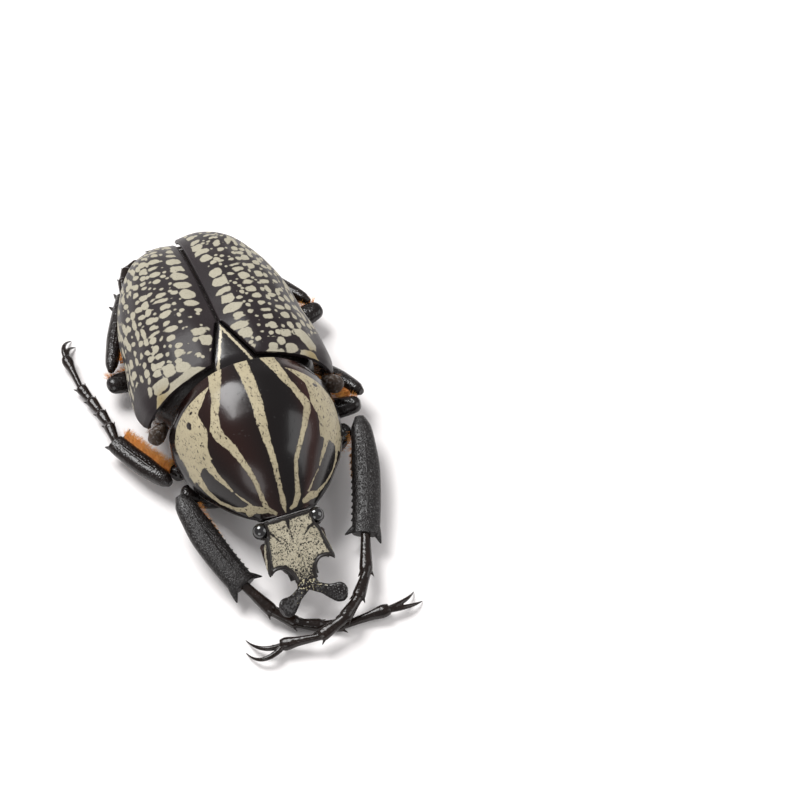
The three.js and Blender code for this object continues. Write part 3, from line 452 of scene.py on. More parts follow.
# Large patches near the base: across, row, half width, half length, lean, squareness.
BASE_PATCHES = {
    1: [(11.5, 0.15, 0.95, 1.75, -0.35, 2.6), (8.9, 1.2, 0.75, 0.72, 0, 2.2),
        (7.6, -0.3, 0.62, 0.78, 0, 2.2), (8.9, -1.5, 1.0, 0.8, 0, 2.4), (6.3, -0.9, 0.7, 0.6, 0, 2.2)],
    -1: [(11.3, -0.9, 1.15, 1.0, 0.2, 2.6), (10.9, 1.1, 0.75, 0.7, 0, 2.2), (9.4, 0.8, 0.95, 1.1, 0.2, 2.3),
         (7.4, 0.2, 1.0, 0.8, 0, 2.4), (12.9, -0.6, 0.4, 0.8, 0, 2.2)],
}
PATCH_GAP = 0.16  # dark line between patches
BASE_ZONE = {"length": 2.6, "from": 5, "to": 13.4}  # where patches take the place of spots
BASE_EDGE = {1: 0.95, -1: 1.2}  # width of the cream edge along the base
BLACK_SHOULDER = (14.1, 0.4, 1.2, 2.2)  # across, row, half width, half length
BARE = {"suture": 1.3, "rims": 0.16}  # how wide the dark margins are
RIBS = {"count": 5, "height": 0.05}
NOWHERE = -9.0  # distance inside a marking that isn't there


def spot_rows(length, chance):
    """Cream spots of one wing case as (girth place, row, half width, half length, squareness)."""
    spots = []
    for share, wide, long, gap, square in SPOT_ROWS:
        y = SPOT_SPAN[0] + chance.uniform(0, 1.2) + (1.2 if share < 0.6 else 0)
        while y < SPOT_SPAN[1]:
            narrow = min(1, length(y) / 17)
            half = long * chance.uniform(0.6, 1.35) * (0.75 if y > 24 else 1)
            broad = wide * chance.uniform(0.7, 1.25) * narrow
            s = share * length(y) + chance.normal(0, 0.16)
            if chance.random() > (0.05 if share < 0.2 else 0.1):
                spots.append((s, y + half, broad, half, square))
                # Many spots are two grown together.
                if chance.random() < 0.4:
                    spots.append((s + chance.uniform(-0.6, 0.6) * broad, y + half * chance.uniform(0.4, 1.7),
                                  broad * chance.uniform(0.5, 0.8), half * chance.uniform(0.5, 0.8), 2.2))
            y += 2 * half + gap * chance.uniform(0.65, 1.35)
    # Small dots fill the wider dark gaps.
    known = np.array(spots)
    for _ in range(DOTS["tries"]):
        y = chance.uniform(-0.5, SPOT_SPAN[1] + 0.4)
        s = chance.uniform(1.9, max(2.5, length(y) - 0.5))
        reach = np.hypot((s - known[:, 0]) / known[:, 2], (y - known[:, 1]) / known[:, 3])
        room = ((reach - 1) * np.minimum(known[:, 2], known[:, 3])).min() - DOTS["gap"]
        if room > DOTS["least"]:
            spots.append((s, y, min(room, DOTS["half_width"]), min(room, DOTS["half_length"]), 2))
            known = np.array(spots)
    return spots


def base_distance(x, y):
    """How far behind its slanting front edge a place on a wing case lies, in mm."""
    share = (x - SCUTELLUM["half_width"]) / (ELYTRON_BASE["humerus"] - SCUTELLUM["half_width"])
    return (y - ELYTRON_BASE["inner"] - share * (ELYTRON_BASE["outer"] - ELYTRON_BASE["inner"])) * 0.98


def travelled(points, axis=0):
    """How far along its line of points each point lies."""
    steps = np.cumsum(np.linalg.norm(np.diff(points, axis=axis), axis=-1), axis=axis)
    return np.concatenate([np.zeros_like(steps.take([0], axis)), steps], axis)


def roundness(a, b, power):
    """How far out a place lies on a squarish round: 0 in its middle, 1 on its edge."""
    return (np.abs(a) ** power + np.abs(b) ** power) ** (1 / power)


def elytron_cream(side, seed, x, y, place, length):
    """Distance inside the cream of one wing case. `place` is the girth from the suture at each point."""
    best = np.full(x.shape, NOWHERE)
    for s0, y0, wide, long, square in spot_rows(length, np.random.default_rng(seed)):
        near = roundness((place - s0) / wide, (y - y0) / long, square)
        best = np.maximum(best, (1 - near) * min(wide, long))
    behind = base_distance(x, y)
    near_base = (behind < BASE_ZONE["length"]) & (x > BASE_ZONE["from"]) & (x < BASE_ZONE["to"])
    best = np.where(near_base, NOWHERE, best)
    patches = np.full(x.shape, NOWHERE)
    for x0, y0, wide, long, lean, square in BASE_PATCHES[side]:
        near = roundness((x - x0 - lean * (y - y0)) / wide, (y - y0) / long, square)
        best = np.minimum(best, (near - 1) * min(wide, long) - 0.2)
        patches = np.minimum(patches, (near - 1) * min(wide, long) - PATCH_GAP)
        patches = np.maximum(patches, (1 - near) * min(wide, long))
    # The plain dark band along the suture, and the cream edge of the slanting base.
    best = np.minimum(best, place - BARE["suture"])
    band = BASE_EDGE[side] - behind - np.maximum(0, 6.4 - x) * 0.55 - np.maximum(0, x - 12.2) * 2.6
    best = np.maximum(best, np.where(behind < 2.4, np.minimum(band, -0.12 - patches), NOWHERE))
    best = np.maximum(best, patches)
    x0, y0, wide, long = BLACK_SHOULDER
    return np.minimum(best, (np.hypot((x - x0) / wide, (y - y0) / long) - 1) * 1.5)


def walled(upper, lower):
    """A closed plate from two grids of points joined round their margins: (points, faces)."""
    count, columns = upper.shape[:2]
    r, k = np.meshgrid(np.arange(count - 1), np.arange(columns - 1), indexing="ij")
    a = (r * columns + k).ravel()
    under = count * columns
    faces = np.stack([a, a + 1, a + columns + 1, a + columns], -1).tolist()
    faces += np.stack([under + a, under + a + columns, under + a + columns + 1, under + a + 1], -1).tolist()
    loop = np.concatenate([np.arange(columns), np.arange(1, count) * columns + columns - 1,
                           (count - 1) * columns + np.arange(columns - 2, -1, -1),
                           np.arange(count - 2, 0, -1) * columns])
    following = np.roll(loop, -1)
    faces += np.stack([following, loop, under + loop, under + following], -1).tolist()
    return np.concatenate([upper.reshape(-1, 3), lower.reshape(-1, 3)]), faces


def elytron(side, seed):
    """One wing case as (points, faces), with its markings."""
    rows = crowded(*ELYTRON_SPAN, ELYTRON_ROWS, 1.2)
    y = rows[:, None]
    start = elytron_inner(y)
    x = start + (elytra["half_width"](y) - start) * np.sin(crowded(0, 1, ELYTRON_COLUMNS, 1.15) * np.pi / 2)
    lift = LEFT_LIFT * (np.maximum(y, 0) / 30) ** 2 if side > 0 else 0
    outer = points_of(side * x, y, elytra_height(x, y) + lift)
    normal = unit(np.cross(np.gradient(outer, axis=0), np.gradient(outer, axis=1)))
    normal *= np.sign(normal[..., 2:3] + 1e-9)
    girth, gone = travelled(outer, 1), travelled(outer, 0)
    # Distance to the nearest margin, which rounds the plate off and keeps the rims bare.
    rim = np.minimum(np.minimum(girth, girth[:, -1:] - girth), np.minimum(gone, gone[-1:] - gone))
    length = profile(list(zip(rows[::6], (girth[:, -1] + start[:, 0])[::6])))
    place = girth + start
    cream = np.minimum(elytron_cream(side, seed, x, y, place, length), rim - BARE["rims"])
    tan = 0.75 * np.exp(-(((x - 11.8) / 1.3) ** 2) - (base_distance(x, y) - 0.5) ** 2)
    short = np.clip(MARGIN_RADIUS - rim, 0, MARGIN_RADIUS)
    drop = (MARGIN_RADIUS - np.sqrt(np.clip(MARGIN_RADIUS**2 - short**2, 0, None)))[..., None]
    # Low ribs run along it, and fade out towards the rims and the suture.
    ribs = RIBS["height"] * np.cos(place / length(y) * 2 * np.pi * RIBS["count"])
    ribs *= np.clip(rim - 0.6, 0, 1) * np.clip(place / 3 - 0.5, 0, 1)
    inner = outer - normal * ELYTRON_THICKNESS
    inner[:, 0] = outer[:, 0] - np.array([0, 0, ELYTRON_THICKNESS])
    shape = walled(outer - normal * drop + normal * ribs[..., None], inner + normal * drop * 0.8)
    marks = {"cream": np.append(cream, np.full(x.size, OUTSIDE)), "warmth": np.append(tan, np.zeros(x.size))}
    return shape, marks


# Velvety cuticle: no clear gloss, and cream powder that dries to a warm grey, tanned at the shoulder.
velvet, tree, place = material("elytral cuticle, charcoal brown, velvety", Roughness=0.45, IOR=1.45,
                               Specular_IOR_Level=0.3, Sheen_Weight=0.02, Sheen_Roughness=0.4)
warm = add(tree, "ShaderNodeAttribute", attribute_name="warmth").outputs["Fac"]
marking = ragged_marking(tree, place, 1.5, 1.15, (-0.06, 0.06), 4.0, 0.45)
fleck = add(tree, "ShaderNodeTexNoise", {"Vector": place, "Scale": 1 / (0.35 * MM), "Detail": 6.0,
                                         "Roughness": 0.7})
worn = add(tree, "ShaderNodeMapRange", {"Value": fleck, "From Min": 0.68, "From Max": 0.63})
powder = add(tree, "ShaderNodeMath", {0: marking, 1: worn}, operation="MULTIPLY")
tint = add(tree, "ShaderNodeTexNoise", {"Vector": place, "Scale": 1 / (5 * MM), "Detail": 3.0})
dark = add(tree, "ShaderNodeMix", {0: tint, 6: "#151012", 7: "#282022"}, data_type="RGBA")
dust = add(tree, "ShaderNodeMix", {0: fleck, 6: "#827d6d", 7: "#b9b3a0"}, data_type="RGBA")
tanned = add(tree, "ShaderNodeMix", {0: warm, 6: dust, 7: "#8f7c4c"}, data_type="RGBA")
shade = add(tree, "ShaderNodeMix", {0: powder, 6: dark, 7: tanned}, data_type="RGBA")
dull = add(tree, "ShaderNodeMapRange", {"Value": powder, "To Min": 0.42, "To Max": 0.66})
raised = add(tree, "ShaderNodeMath", {0: powder, 1: 0.5, 2: fleck}, operation="MULTIPLY_ADD")
finish(tree, shade, dull, raised, 0.5, 0.05)
for word, side in SIDES.items():
    shape, marks = elytron(side, SPOT_SEEDS[word])
    shell_piece(f"elytron_{word}_skin", shape, velvet, f"elytron_{word}", marks)

# The scutellum: a long triangular plate wedged between the wing case bases. It is smooth black cuticle with
# a fine cream line along each side, and is lofted in narrowing rings from its base to its tip.
SCUTELLUM_LINE = {"inset": 0.62, "half_width": 0.22}
share = crowded(0, 0.985, 60, 1.0)[:, None]
over = np.linspace(-1, 1, 40)
under = over[::-1][1:-1] * 0.86
width = SCUTELLUM["half_width"] * (1 - share)
y = SCUTELLUM["base"] + (SCUTELLUM["tip"] - SCUTELLUM["base"]) * share
z = elytra_height(3.0, y) - 0.3
rings = np.concatenate([points_of(over * width, y, z - 0.2 * np.abs(over) ** 3 + 0.05 * (1 - over**2)),
                        points_of(under * width, y, z - SCUTELLUM["thickness"])], 1)
line = SCUTELLUM_LINE["half_width"] - np.abs((1 - np.abs(over)) * width - SCUTELLUM_LINE["inset"])
cream = np.concatenate([line, np.full((len(share), len(under)), OUTSIDE)], 1)
# Smooth chitin: a soft even gloss.
plain_black, tree, place = material("chitin cuticle, black, smooth", Roughness=0.25, IOR=1.56,
                                    Specular_IOR_Level=0.3)
inside = add(tree, "ShaderNodeAttribute", attribute_name="cream").outputs["Fac"]
wander = add(tree, "ShaderNodeTexNoise", {"Vector": place, "Scale": 1 / (0.5 * MM), "Detail": 5.0})
ragged = add(tree, "ShaderNodeMath", {0: wander, 1: 0.6, 2: inside}, operation="MULTIPLY_ADD")
powder = add(tree, "ShaderNodeMapRange", {"Value": ragged, "From Min": 0.26, "From Max": 0.36})
shade = add(tree, "ShaderNodeMix", {0: powder, 6: "#171314", 7: "#b3aa92"}, data_type="RGBA")
finish(tree, shade, height=wander, strength=0.3, depth=0.05)
shell_piece("scutellum_skin", loft(rings), plain_black, "scutellum",
            {"cream": np.append(cream, [OUTSIDE] * 2)})

# Under the wing cases: the hind thorax, flat below where the beetle lies on it, the abdomen of five
# overlapping belly segments and the tail plate. All are black cuticle, finely pricked, and lofted through
# rings along the body.
THORAX = {
    "half_width": [(-3.8, 10.4), (0, 12.6), (6, 12.9), (12.4, 12)],
    "bottom": [(-3.8, 2.2), (-2.8, 0.8), (-1.6, -0.1), (0, -0.8), (2, -0.9), (4.6, -0.6), (6.2, 0.7),
               (7.4, 2.4), (8.5, 3.2), (12.4, 3.4)],
    "edge": [(-3.8, 6.8), (12.4, 5.6)],
    "bulge": [(-3.8, 1.55), (3, 0), (12.4, 0)],
}
ABDOMEN = {
    "half_width": [(12.7, 12.1), (17, 11.3), (21, 9.7), (25, 7.4), (27.6, 5.8)],
    "bottom": [(12.7, 3.1), (15, 1.9), (19, 1.5), (23, 2.1), (27.6, 3.4)],
    "edge": [(12.7, 5.5), (20, 5.2), (27.6, 5)],
}
PYGIDIUM = {"half_width": 5.2, "top": 5.3, "bottom": 2.4, "y": 28, "depth": 1.8}
UNDER_DROP = 1.75  # how far the thorax and abdomen stay below the wing cases
THORAX_SPAN = (-3.8, 12.4)
BODY_STEPS = 90  # points over the top of a ring
BELLY_GROOVE = {"depth": 0.16, "width": 0.35}
SEGMENT_ENDS = [12.7, 16, 19.2, 22.2, 25, 27.6]
# How far a belly segment is sunk below its rear part, by the share of its length. Each slips under the one
# before.
SEGMENT_SUNK = [(0, 0.22), (0.12, 0.22), (0.35, 0.08), (0.8, 0), (0.95, 0.03), (1, 0.15)]
SEGMENT_GAP = 0.04
SEGMENT_ROWS = 12


def under_elytra(y, table):
    crown = min(elytra["top"](y) - UNDER_DROP, elytra_height(0.0, y) - UNDER_DROP + 0.6)
    return table["half_width"](y), table["edge"](y), crown, (2.5, 2)


# Pricked chitin: duller than the pronotum, since each prick scatters the light.
pricked, tree, place = material("chitin cuticle, black, pricked", Roughness=0.32, IOR=1.56,
                                Specular_IOR_Level=0.3)
tint = add(tree, "ShaderNodeTexNoise", {"Vector": place, "Scale": 1 / (3 * MM), "Detail": 4.0})
shade = add(tree, "ShaderNodeMix", {0: tint, 6: "#0f0c0c", 7: "#2c2422"}, data_type="RGBA")
pricks = add(tree, "ShaderNodeTexVoronoi", {"Vector": place, "Scale": 1 / (0.38 * MM)})
pit = add(tree, "ShaderNodeMapRange", {"Value": pricks, "From Min": 0.1, "From Max": 0.4})
finish(tree, shade, height=pit, strength=0.6, depth=0.06)
thorax = {key: profile(stations) for key, stations in THORAX.items()}
rings = body_rings(crowded(*THORAX_SPAN, 70, 1.0), lambda y: under_elytra(y, thorax), thorax["bottom"],
                   BODY_STEPS, thorax["bulge"])
groove = BELLY_GROOVE["depth"] * np.exp(-(rings[..., 0] / BELLY_GROOVE["width"]) ** 2)
rings[..., 2] = np.maximum(rings[..., 2] + groove * (rings[..., 2] < 3), 0)
shell_piece("thorax_skin", loft(rounded_ends(rings, 0.4)), pricked, "thorax")

abdomen = {key: profile(stations) for key, stations in ABDOMEN.items()}
segments = zip(SEGMENT_ENDS[:-1], SEGMENT_ENDS[1:])
rows = np.concatenate([np.linspace(a + SEGMENT_GAP, b, SEGMENT_ROWS) for a, b in segments])
sunk = np.tile(profile(SEGMENT_SUNK)(np.linspace(0, 1, SEGMENT_ROWS)), len(SEGMENT_ENDS) - 1)


def abdomen_top(y):
    half_width, edge, crown, power = under_elytra(y, abdomen)
    return half_width - np.interp(y, rows, sunk), edge, crown, power


rings = body_rings(rows, abdomen_top, lambda y: abdomen["bottom"](y) + np.interp(y, rows, sunk), BODY_STEPS)
shell_piece("abdomen_skin", loft(rounded_ends(rings, 0.3)), pricked, "abdomen")

turn = np.linspace(0, 2 * np.pi, 96, endpoint=False)
share = np.linspace(0, 1, 24)[:, None]
shrink = 1 - 0.75 * share**2
middle = (PYGIDIUM["top"] + PYGIDIUM["bottom"]) / 2 - 0.2 * share
half_height = (PYGIDIUM["top"] - PYGIDIUM["bottom"]) / 2
rings = points_of(PYGIDIUM["half_width"] * shrink * np.cos(turn),
                  PYGIDIUM["y"] + PYGIDIUM["depth"] * np.sin(share * np.pi / 2),
                  middle + half_height * shrink * np.sin(turn))
points, faces = loft(rings)
cream = 1.3 - np.abs(np.abs(points[:, 0]) - 2.6)
shell_piece("pygidium_skin", (points, faces), plain_black, "pygidium", {"cream": cream})

# The head: a flat shield that slopes down from the pronotum, cream powder over black cuticle and densely
# pitted, with black raised rims, a tooth at each front corner and a round bay beside the stem of the horn.
# Its parts are welded closed.
HEAD = {"rear": -25.6, "rear_height": 9.7, "slope": math.radians(27)}
# Rings across the head: how far forwards, half width, top and underside.
CRANIUM = [(-0.35, 3.7, -0.12, -3.6), (0.8, 3.75, 0, -4), (2.4, 3.5, 0.02, -4.2), (4.6, 3.3, 0, -3.8),
           (6.1, 3, -0.1, -2.6), (6.8, 2.4, -0.2, -1.6)]
CLYPEUS_EDGE = [(3.5, -0.1), (3.6, 1.6), (4.1, 2.7), (4.2, 4.3), (4.55, 5.9), (4.85, 7.4), (4.2, 6.9),
                (3.4, 6.75), (2.65, 6.9), (2.05, 7.45), (1.65, 8.2), (1.5, 8.95), (1.5, 9.55)]
TOOTH = 5  # which of these points is the tooth, where the side edge turns into the bay
SHIELD_FACES = (-0.95, 0.05)
HEAD_GRAIN = 0.085  # mm, the voxel of the weld
# Dark lines on the head as (across, forwards, half width).
HEAD_LINES = [[(-0.1, -0.6, 0.5), (-0.2, 0.5, 0.26), (-0.27, 1.6, 0.1), (-0.24, 3.3, 0.04)],
              [(-3.5, 1.4, 0.3), (-3.03, 1.6, 0.22), (-2.5, 2.5, 0.12), (-2.1, 3.1, 0.03)],
              [(3.3, 1.9, 0.26), (2.56, 2.2, 0.2), (2.0, 2.7, 0.1), (1.6, 3.1, 0.03)]]
ACROSS, ALONG, UPWARDS = np.eye(3)


def head_point(local):
    """Points given as (across, forwards, upwards) in the head's own frame, in drawn millimetres."""
    x, v, w = np.moveaxis(np.asarray(local, float), -1, 0)
    c, s = math.cos(HEAD["slope"]), math.sin(HEAD["slope"])
    return np.stack([x, HEAD["rear"] - v * c - w * s, HEAD["rear_height"] - v * s + w * c], -1)


def head_local(points):
    x, y, z = np.moveaxis(points, -1, 0)
    c, s = math.cos(HEAD["slope"]), math.sin(HEAD["slope"])
    y, z = HEAD["rear"] - y, z - HEAD["rear_height"]
    return np.stack([x, y * c - z * s, y * s + z * c], -1)


def squarish(wave, power):
    """A sine or cosine drawn out, so that a round made of two turns squarish."""
    return np.sign(wave) * np.abs(wave) ** power


def limb(stations, wide, sides, steps, power=2.0):
    """A closed limb through stations (x, y, z, half width, half depth). The width lies along `wide`."""
    stations = np.asarray(stations, float)
    run = travelled(stations[:, :3])
    t = crowded(0, run[-1], steps, 1.2)
    at = np.stack([profile(list(zip(run, column)))(t) for column in stations.T], -1)
    along = unit(np.gradient(at[:, :3], axis=0))
    across = unit(wide - along * (along @ wide)[:, None])
    deep = np.cross(along, across)
    turn = np.linspace(0, 2 * np.pi, sides, endpoint=False)
    c, s = squarish(np.cos(turn), 2 / power), squarish(np.sin(turn), 2 / power)
    to_side = (across * at[:, 3:4])[:, None] * c[:, None]
    to_top = (deep * at[:, 4:5])[:, None] * s[:, None]
    return loft(at[:, None, :3] + to_side + to_top)


def head_limb(places, wide, deep, way, sides, steps, power=2.0):
    """A limb through places in the head's frame. Its half widths and half depths are one value or a list."""
    sizes = [np.broadcast_to(size, len(places)) for size in (wide, deep)]
    return limb(np.column_stack([head_point(places), *sizes]), way, sides, steps, power)


def ridge(line, radius):
    """A thin closed ridge along a line of head-frame points."""
    size = np.full(len(line), radius)
    size[[0, -1]] *= 0.4
    return head_limb(line, size, size, np.array([0.0, 0.3, 1.0]), 12, len(line))


def prism(outline, low, high):
    """A closed plate with an outline of (across, forwards) points, in the head's frame."""
    n = len(outline)
    points = np.concatenate([np.column_stack([outline, np.full(n, level)]) for level in (low, high)])
    faces = [list(range(n))[::-1], list(range(n, 2 * n))]
    faces += [[i, (i + 1) % n, n + (i + 1) % n, n + i] for i in range(n)]
    return head_point(points), faces


def evaluated_mesh(made):
    """The mesh that an object's modifiers give. The object itself goes."""
    done = bpy.data.meshes.new_from_object(made.evaluated_get(bpy.context.evaluated_depsgraph_get()))
    bpy.data.objects.remove(made)
    return done


def welded(parts, voxel, rounds):
    """Joins closed parts into one smooth skin, by a voxel remesh at drawn scale: (points, faces)."""
    points = np.concatenate([p for p, _ in parts])
    starts = np.cumsum([0] + [len(p) for p, _ in parts])
    mesh = bpy.data.meshes.new("parts")
    faces = [[i + start for i in face] for (_, faces), start in zip(parts, starts) for face in faces]
    mesh.from_pydata(points.tolist(), [], faces)
    whole = add_object("parts", mesh)
    remesh = whole.modifiers.new("weld", "REMESH")
    remesh.mode = "VOXEL"
    remesh.voxel_size = voxel
    whole.modifiers.new("soften", "SMOOTH").iterations = rounds
    done = evaluated_mesh(whole)
    flat = np.zeros(len(done.vertices) * 3)
    done.vertices.foreach_get("co", flat)
    faces = [tuple(p.vertices) for p in done.polygons]
    bpy.data.meshes.remove(mesh)
    bpy.data.meshes.remove(done)
    return flat.reshape(-1, 3), faces


def curve(points, steps):
    """A smooth line through points, by Catmull-Rom."""
    p = np.asarray(points, float)
    p = np.concatenate([2 * p[:1] - p[1:2], p, 2 * p[-1:] - p[-2:-1]])
    out = []
    for a, b, c, d in zip(p[:-3], p[1:-2], p[2:-1], p[3:]):
        t = np.linspace(0, 1, steps, endpoint=False)[:, None]
        bent = (2 * a - 5 * b + 4 * c - d) * t**2 + (3 * b - a - 3 * c + d) * t**3
        out.append(0.5 * (2 * b + (c - a) * t + bent))
    return np.concatenate(out + [p[-2:-1]])


def mirrored(points, side):
    """Head-frame points on the beetle's left, or their mirror image."""
    return np.asarray(points, float) * [side, 1, 1]


side_edge = curve(CLYPEUS_EDGE[:TOOTH + 1], 5)
bay_edge = curve(CLYPEUS_EDGE[TOOTH:], 6)
half_outline = np.concatenate([side_edge, bay_edge[1:]])
outline = np.concatenate([half_outline, (half_outline * [-1, 1])[::-1]])
cranium = [profile([(row[0], row[i]) for row in CRANIUM]) for i in (1, 2, 3)]
v = crowded(CRANIUM[0][0], CRANIUM[-1][0], 50, 1.1)[:, None]
wide, top, under = (table(v) for table in cranium)
turn = np.linspace(0, 2 * np.pi, 72, endpoint=False)
rings = head_point(points_of(squarish(np.cos(turn), 0.62) * wide, v,
                             (top + under) / 2 + (top - under) / 2 * squarish(np.sin(turn), 0.72)))
parts = [loft(rings), prism(outline, *SHIELD_FACES)]
for side in (1, -1):
    bay = np.column_stack([bay_edge, np.full(len(bay_edge), 0.02)])
    rim = np.column_stack([side_edge, np.zeros(len(side_edge))])[6:] - [0.12, 0, 0]
    parts += [ridge(mirrored(bay, side), 0.2), ridge(mirrored(rim, side), 0.19)]
    # The side plate below the rim, the tooth's own blade and the ridge in front of the eye.
    plate = [(3.7, 2.2, -1.1), (4.15, 4, -1.2), (4.5, 6, -1.0), (4.7, 7.1, -0.6)]
    plate_wide, plate_deep = [0.35, 0.5, 0.5, 0.25], [0.8, 0.9, 0.75, 0.4]
    parts.append(head_limb(mirrored(plate, side), plate_wide, plate_deep, ACROSS, 20, 20))
    blade = [(4.3, 5.9, -0.5), (4.72, 6.9, -0.5), (4.9, 7.55, -0.5)]
    parts.append(head_limb(mirrored(blade, side), [0.42, 0.34, 0.1], [0.75, 0.5, 0.12], ACROSS, 16, 16))
    parts.append(ridge(mirrored([(3.2, 1.9, 0.02), (3.75, 2.15, -0.1), (4.5, 2.0, -0.5)], side), 0.24))
    # The wall that closes the hollow behind each bay.
    wall = (bay + [0, 0, -1.02])[3:-3:3] - [0, 0.35, 0.3]
    parts.append(head_limb(mirrored(wall, side), 0.4, 0.7, ALONG, 16, 20))
parts.append(ridge([(0, 3.2, -0.02), (0.02, 5, 0.06), (0.02, 7, 0.1), (0, 9.2, 0.04)], 0.3))
points, faces = welded(parts, HEAD_GRAIN, 3)


def inside_outline(flat, outline):
    """How far inside a closed outline each point lies, in mm. Outside it is negative."""
    best = np.full(len(flat), 99.0)
    within = np.zeros(len(flat), bool)
    for a, b in zip(outline, np.roll(outline, -1, axis=0)):
        along = b - a
        t = np.clip((flat - a) @ along / (along @ along + 1e-12), 0, 1)
        best = np.minimum(best, np.linalg.norm(flat - a - t[:, None] * along, axis=1))
        cross = ((a[1] > flat[:, 1]) != (b[1] > flat[:, 1]))
        x = a[0] + (flat[:, 1] - a[1]) * (b[0] - a[0]) / (b[1] - a[1] + 1e-12)
        within ^= cross & (flat[:, 0] < x)
    return np.where(within, best, -best)


local = head_local(points)
flat = local[:, :2]
cream = np.minimum(inside_outline(flat, outline) - 0.42, (local[:, 2] + 0.42) * 1.2)
side_strip = np.minimum(np.abs(local[:, 0]) - 3.95, 0.55 - np.abs(local[:, 2] + 1.05))
side_strip = np.minimum(side_strip, np.minimum(local[:, 1] - 2.9, 6.6 - local[:, 1]))
cream = np.maximum(cream, side_strip)
for line in map(np.array, HEAD_LINES):
    cream = np.minimum(cream, -inside_line(flat, line[:, :2], line[:, 2]))
# Towards the stem the powder is worn to flecks.
worn_front = 0.75 * np.clip((local[:, 1] - 6.2) / 2.2, 0, 1) + 0.25 * np.clip((local[:, 1] - 9.2) / 0.8, 0, 1)
# Powder over black cuticle, pitted: dull and chalky where it holds, black and a little glossy in the pits.
pitted, tree, place = material("head cuticle, cream powder over black, pitted", Roughness=0.5, IOR=1.54,
                               Specular_IOR_Level=0.3)
rubbed = add(tree, "ShaderNodeAttribute", attribute_name="warmth").outputs["Fac"]
worms = add(tree, "ShaderNodeTexNoise", {"Vector": place, "Scale": 1 / (0.25 * MM), "Detail": 4.0,
                                         "Roughness": 0.6, "Distortion": 0.9})
limit = add(tree, "ShaderNodeMath", {0: rubbed, 1: -0.09, 2: 0.555}, operation="MULTIPLY_ADD")
below = add(tree, "ShaderNodeMath", {0: limit, 1: worms}, operation="SUBTRACT")
pits = add(tree, "ShaderNodeMapRange", {"Value": below, "From Min": -0.012, "From Max": 0.02})
marking = ragged_marking(tree, place, 0.5, 0.6, (-0.05, 0.08))
powder = add(tree, "ShaderNodeMath", {0: marking, 1: pits}, operation="MULTIPLY")
tint = add(tree, "ShaderNodeTexNoise", {"Vector": place, "Scale": 1 / (1.8 * MM), "Detail": 3.0})
dust = add(tree, "ShaderNodeMix", {0: tint, 6: "#8d8672", 7: "#beb6a0"}, data_type="RGBA")
shade = add(tree, "ShaderNodeMix", {0: powder, 6: "#1b1715", 7: dust}, data_type="RGBA")
dull = add(tree, "ShaderNodeMapRange", {"Value": powder, "To Min": 0.28, "To Max": 0.62})
relief = add(tree, "ShaderNodeMath", {0: powder, 1: 0.7, 2: below}, operation="MULTIPLY_ADD")
finish(tree, shade, dull, relief, 0.6, 0.06)
shell_piece("head_skin", (points, faces), pitted, "head", {"cream": cream, "warmth": worn_front})

# The horn: a short stem that forks into two flat, blunt prongs of black glossy cuticle with coarse round
# pits. The prongs grow wider outwards, like paddles. Its parts are welded as the head's are.
PRONG = [(0.5, 10.25, -0.45, 0.8), (1.3, 10.85, -0.4, 0.74), (2, 11.3, -0.2, 0.78), (2.9, 11.95, 0.2, 1.08),
         (3.9, 12.45, 0.6, 1.45), (4.55, 12.75, 0.85, 1.25), (4.95, 12.9, 1, 0.7)]
PRONG_DEPTH = 0.5336
SQUARE_EDGED = 2.7  # how square the section is, where 2 is an ellipse
STEM = [(0, 9.0, -0.45), (0, 9.5, -0.45), (0, 10.2, -0.45), (0, 10.75, -0.45)]
forwards = head_point((0, 1, 0)) - head_point((0, 0, 0))
*prong_line, prong_width = np.array(PRONG).T
prong_line = np.array(prong_line).T
parts = [head_limb(mirrored(prong_line, side), prong_width, PRONG_DEPTH, forwards, 32, 40, SQUARE_EDGED)
         for side in (1, -1)]
parts.append(head_limb(STEM, [1.46, 1.5, 1.62, 1.1], [0.5, 0.54, 0.54, 0.42], ACROSS, 32, 20, SQUARE_EDGED))
points, faces = welded(parts, HEAD_GRAIN, 3)
local = head_local(points)
powdery = np.minimum(1.55 - np.hypot(local[:, 0] * 0.72, local[:, 1] - 9.4), local[:, 2] + 0.25)
# Black chitin, polished by wear, with pits coarse enough to catch the light one by one.
horny, tree, place = material("horn cuticle, black, coarsely pitted", Roughness=0.24, IOR=1.56,
                              Specular_IOR_Level=0.32)
inside = add(tree, "ShaderNodeAttribute", attribute_name="cream").outputs["Fac"]
pits = add(tree, "ShaderNodeTexVoronoi", {"Vector": place, "Scale": 1 / (0.36 * MM), "Randomness": 0.8})
hollow = add(tree, "ShaderNodeMapRange", {"Value": pits, "From Min": 0.12, "From Max": 0.5})
wander = add(tree, "ShaderNodeTexNoise", {"Vector": place, "Scale": 1 / (0.3 * MM), "Detail": 4.0})
edge = add(tree, "ShaderNodeMath", {0: inside, 1: 0.075, 2: wander}, operation="MULTIPLY_ADD")
powder = add(tree, "ShaderNodeMapRange", {"Value": edge, "From Min": 0.56, "From Max": 0.6})
shade = add(tree, "ShaderNodeMix", {0: powder, 6: "#141010", 7: "#b0a88b"}, data_type="RGBA")
finish(tree, shade, height=hollow, strength=0.9, depth=0.09)
shell_piece("horn_skin", (points, faces), horny, "horn", {"cream": powdery})

# Eyes, feelers and mouthparts. The eyes are glossy black globes of tiny facets, the feelers end in a club
# of three leaves folded together, and the mouth below the shield has two jointed palps. All are dark brown
# to black cuticle.
EYE_RADIUS = 1.25
EYE_PLACE = (4.2, 0.8, -1.15)
FACET = 0.07  # mm from one facet to the next, three times as coarse as in life
FEELER_STALK = [(3.75, 3, -2), (4.3, 3.1, -2), (4.75, 3.4, -2)]
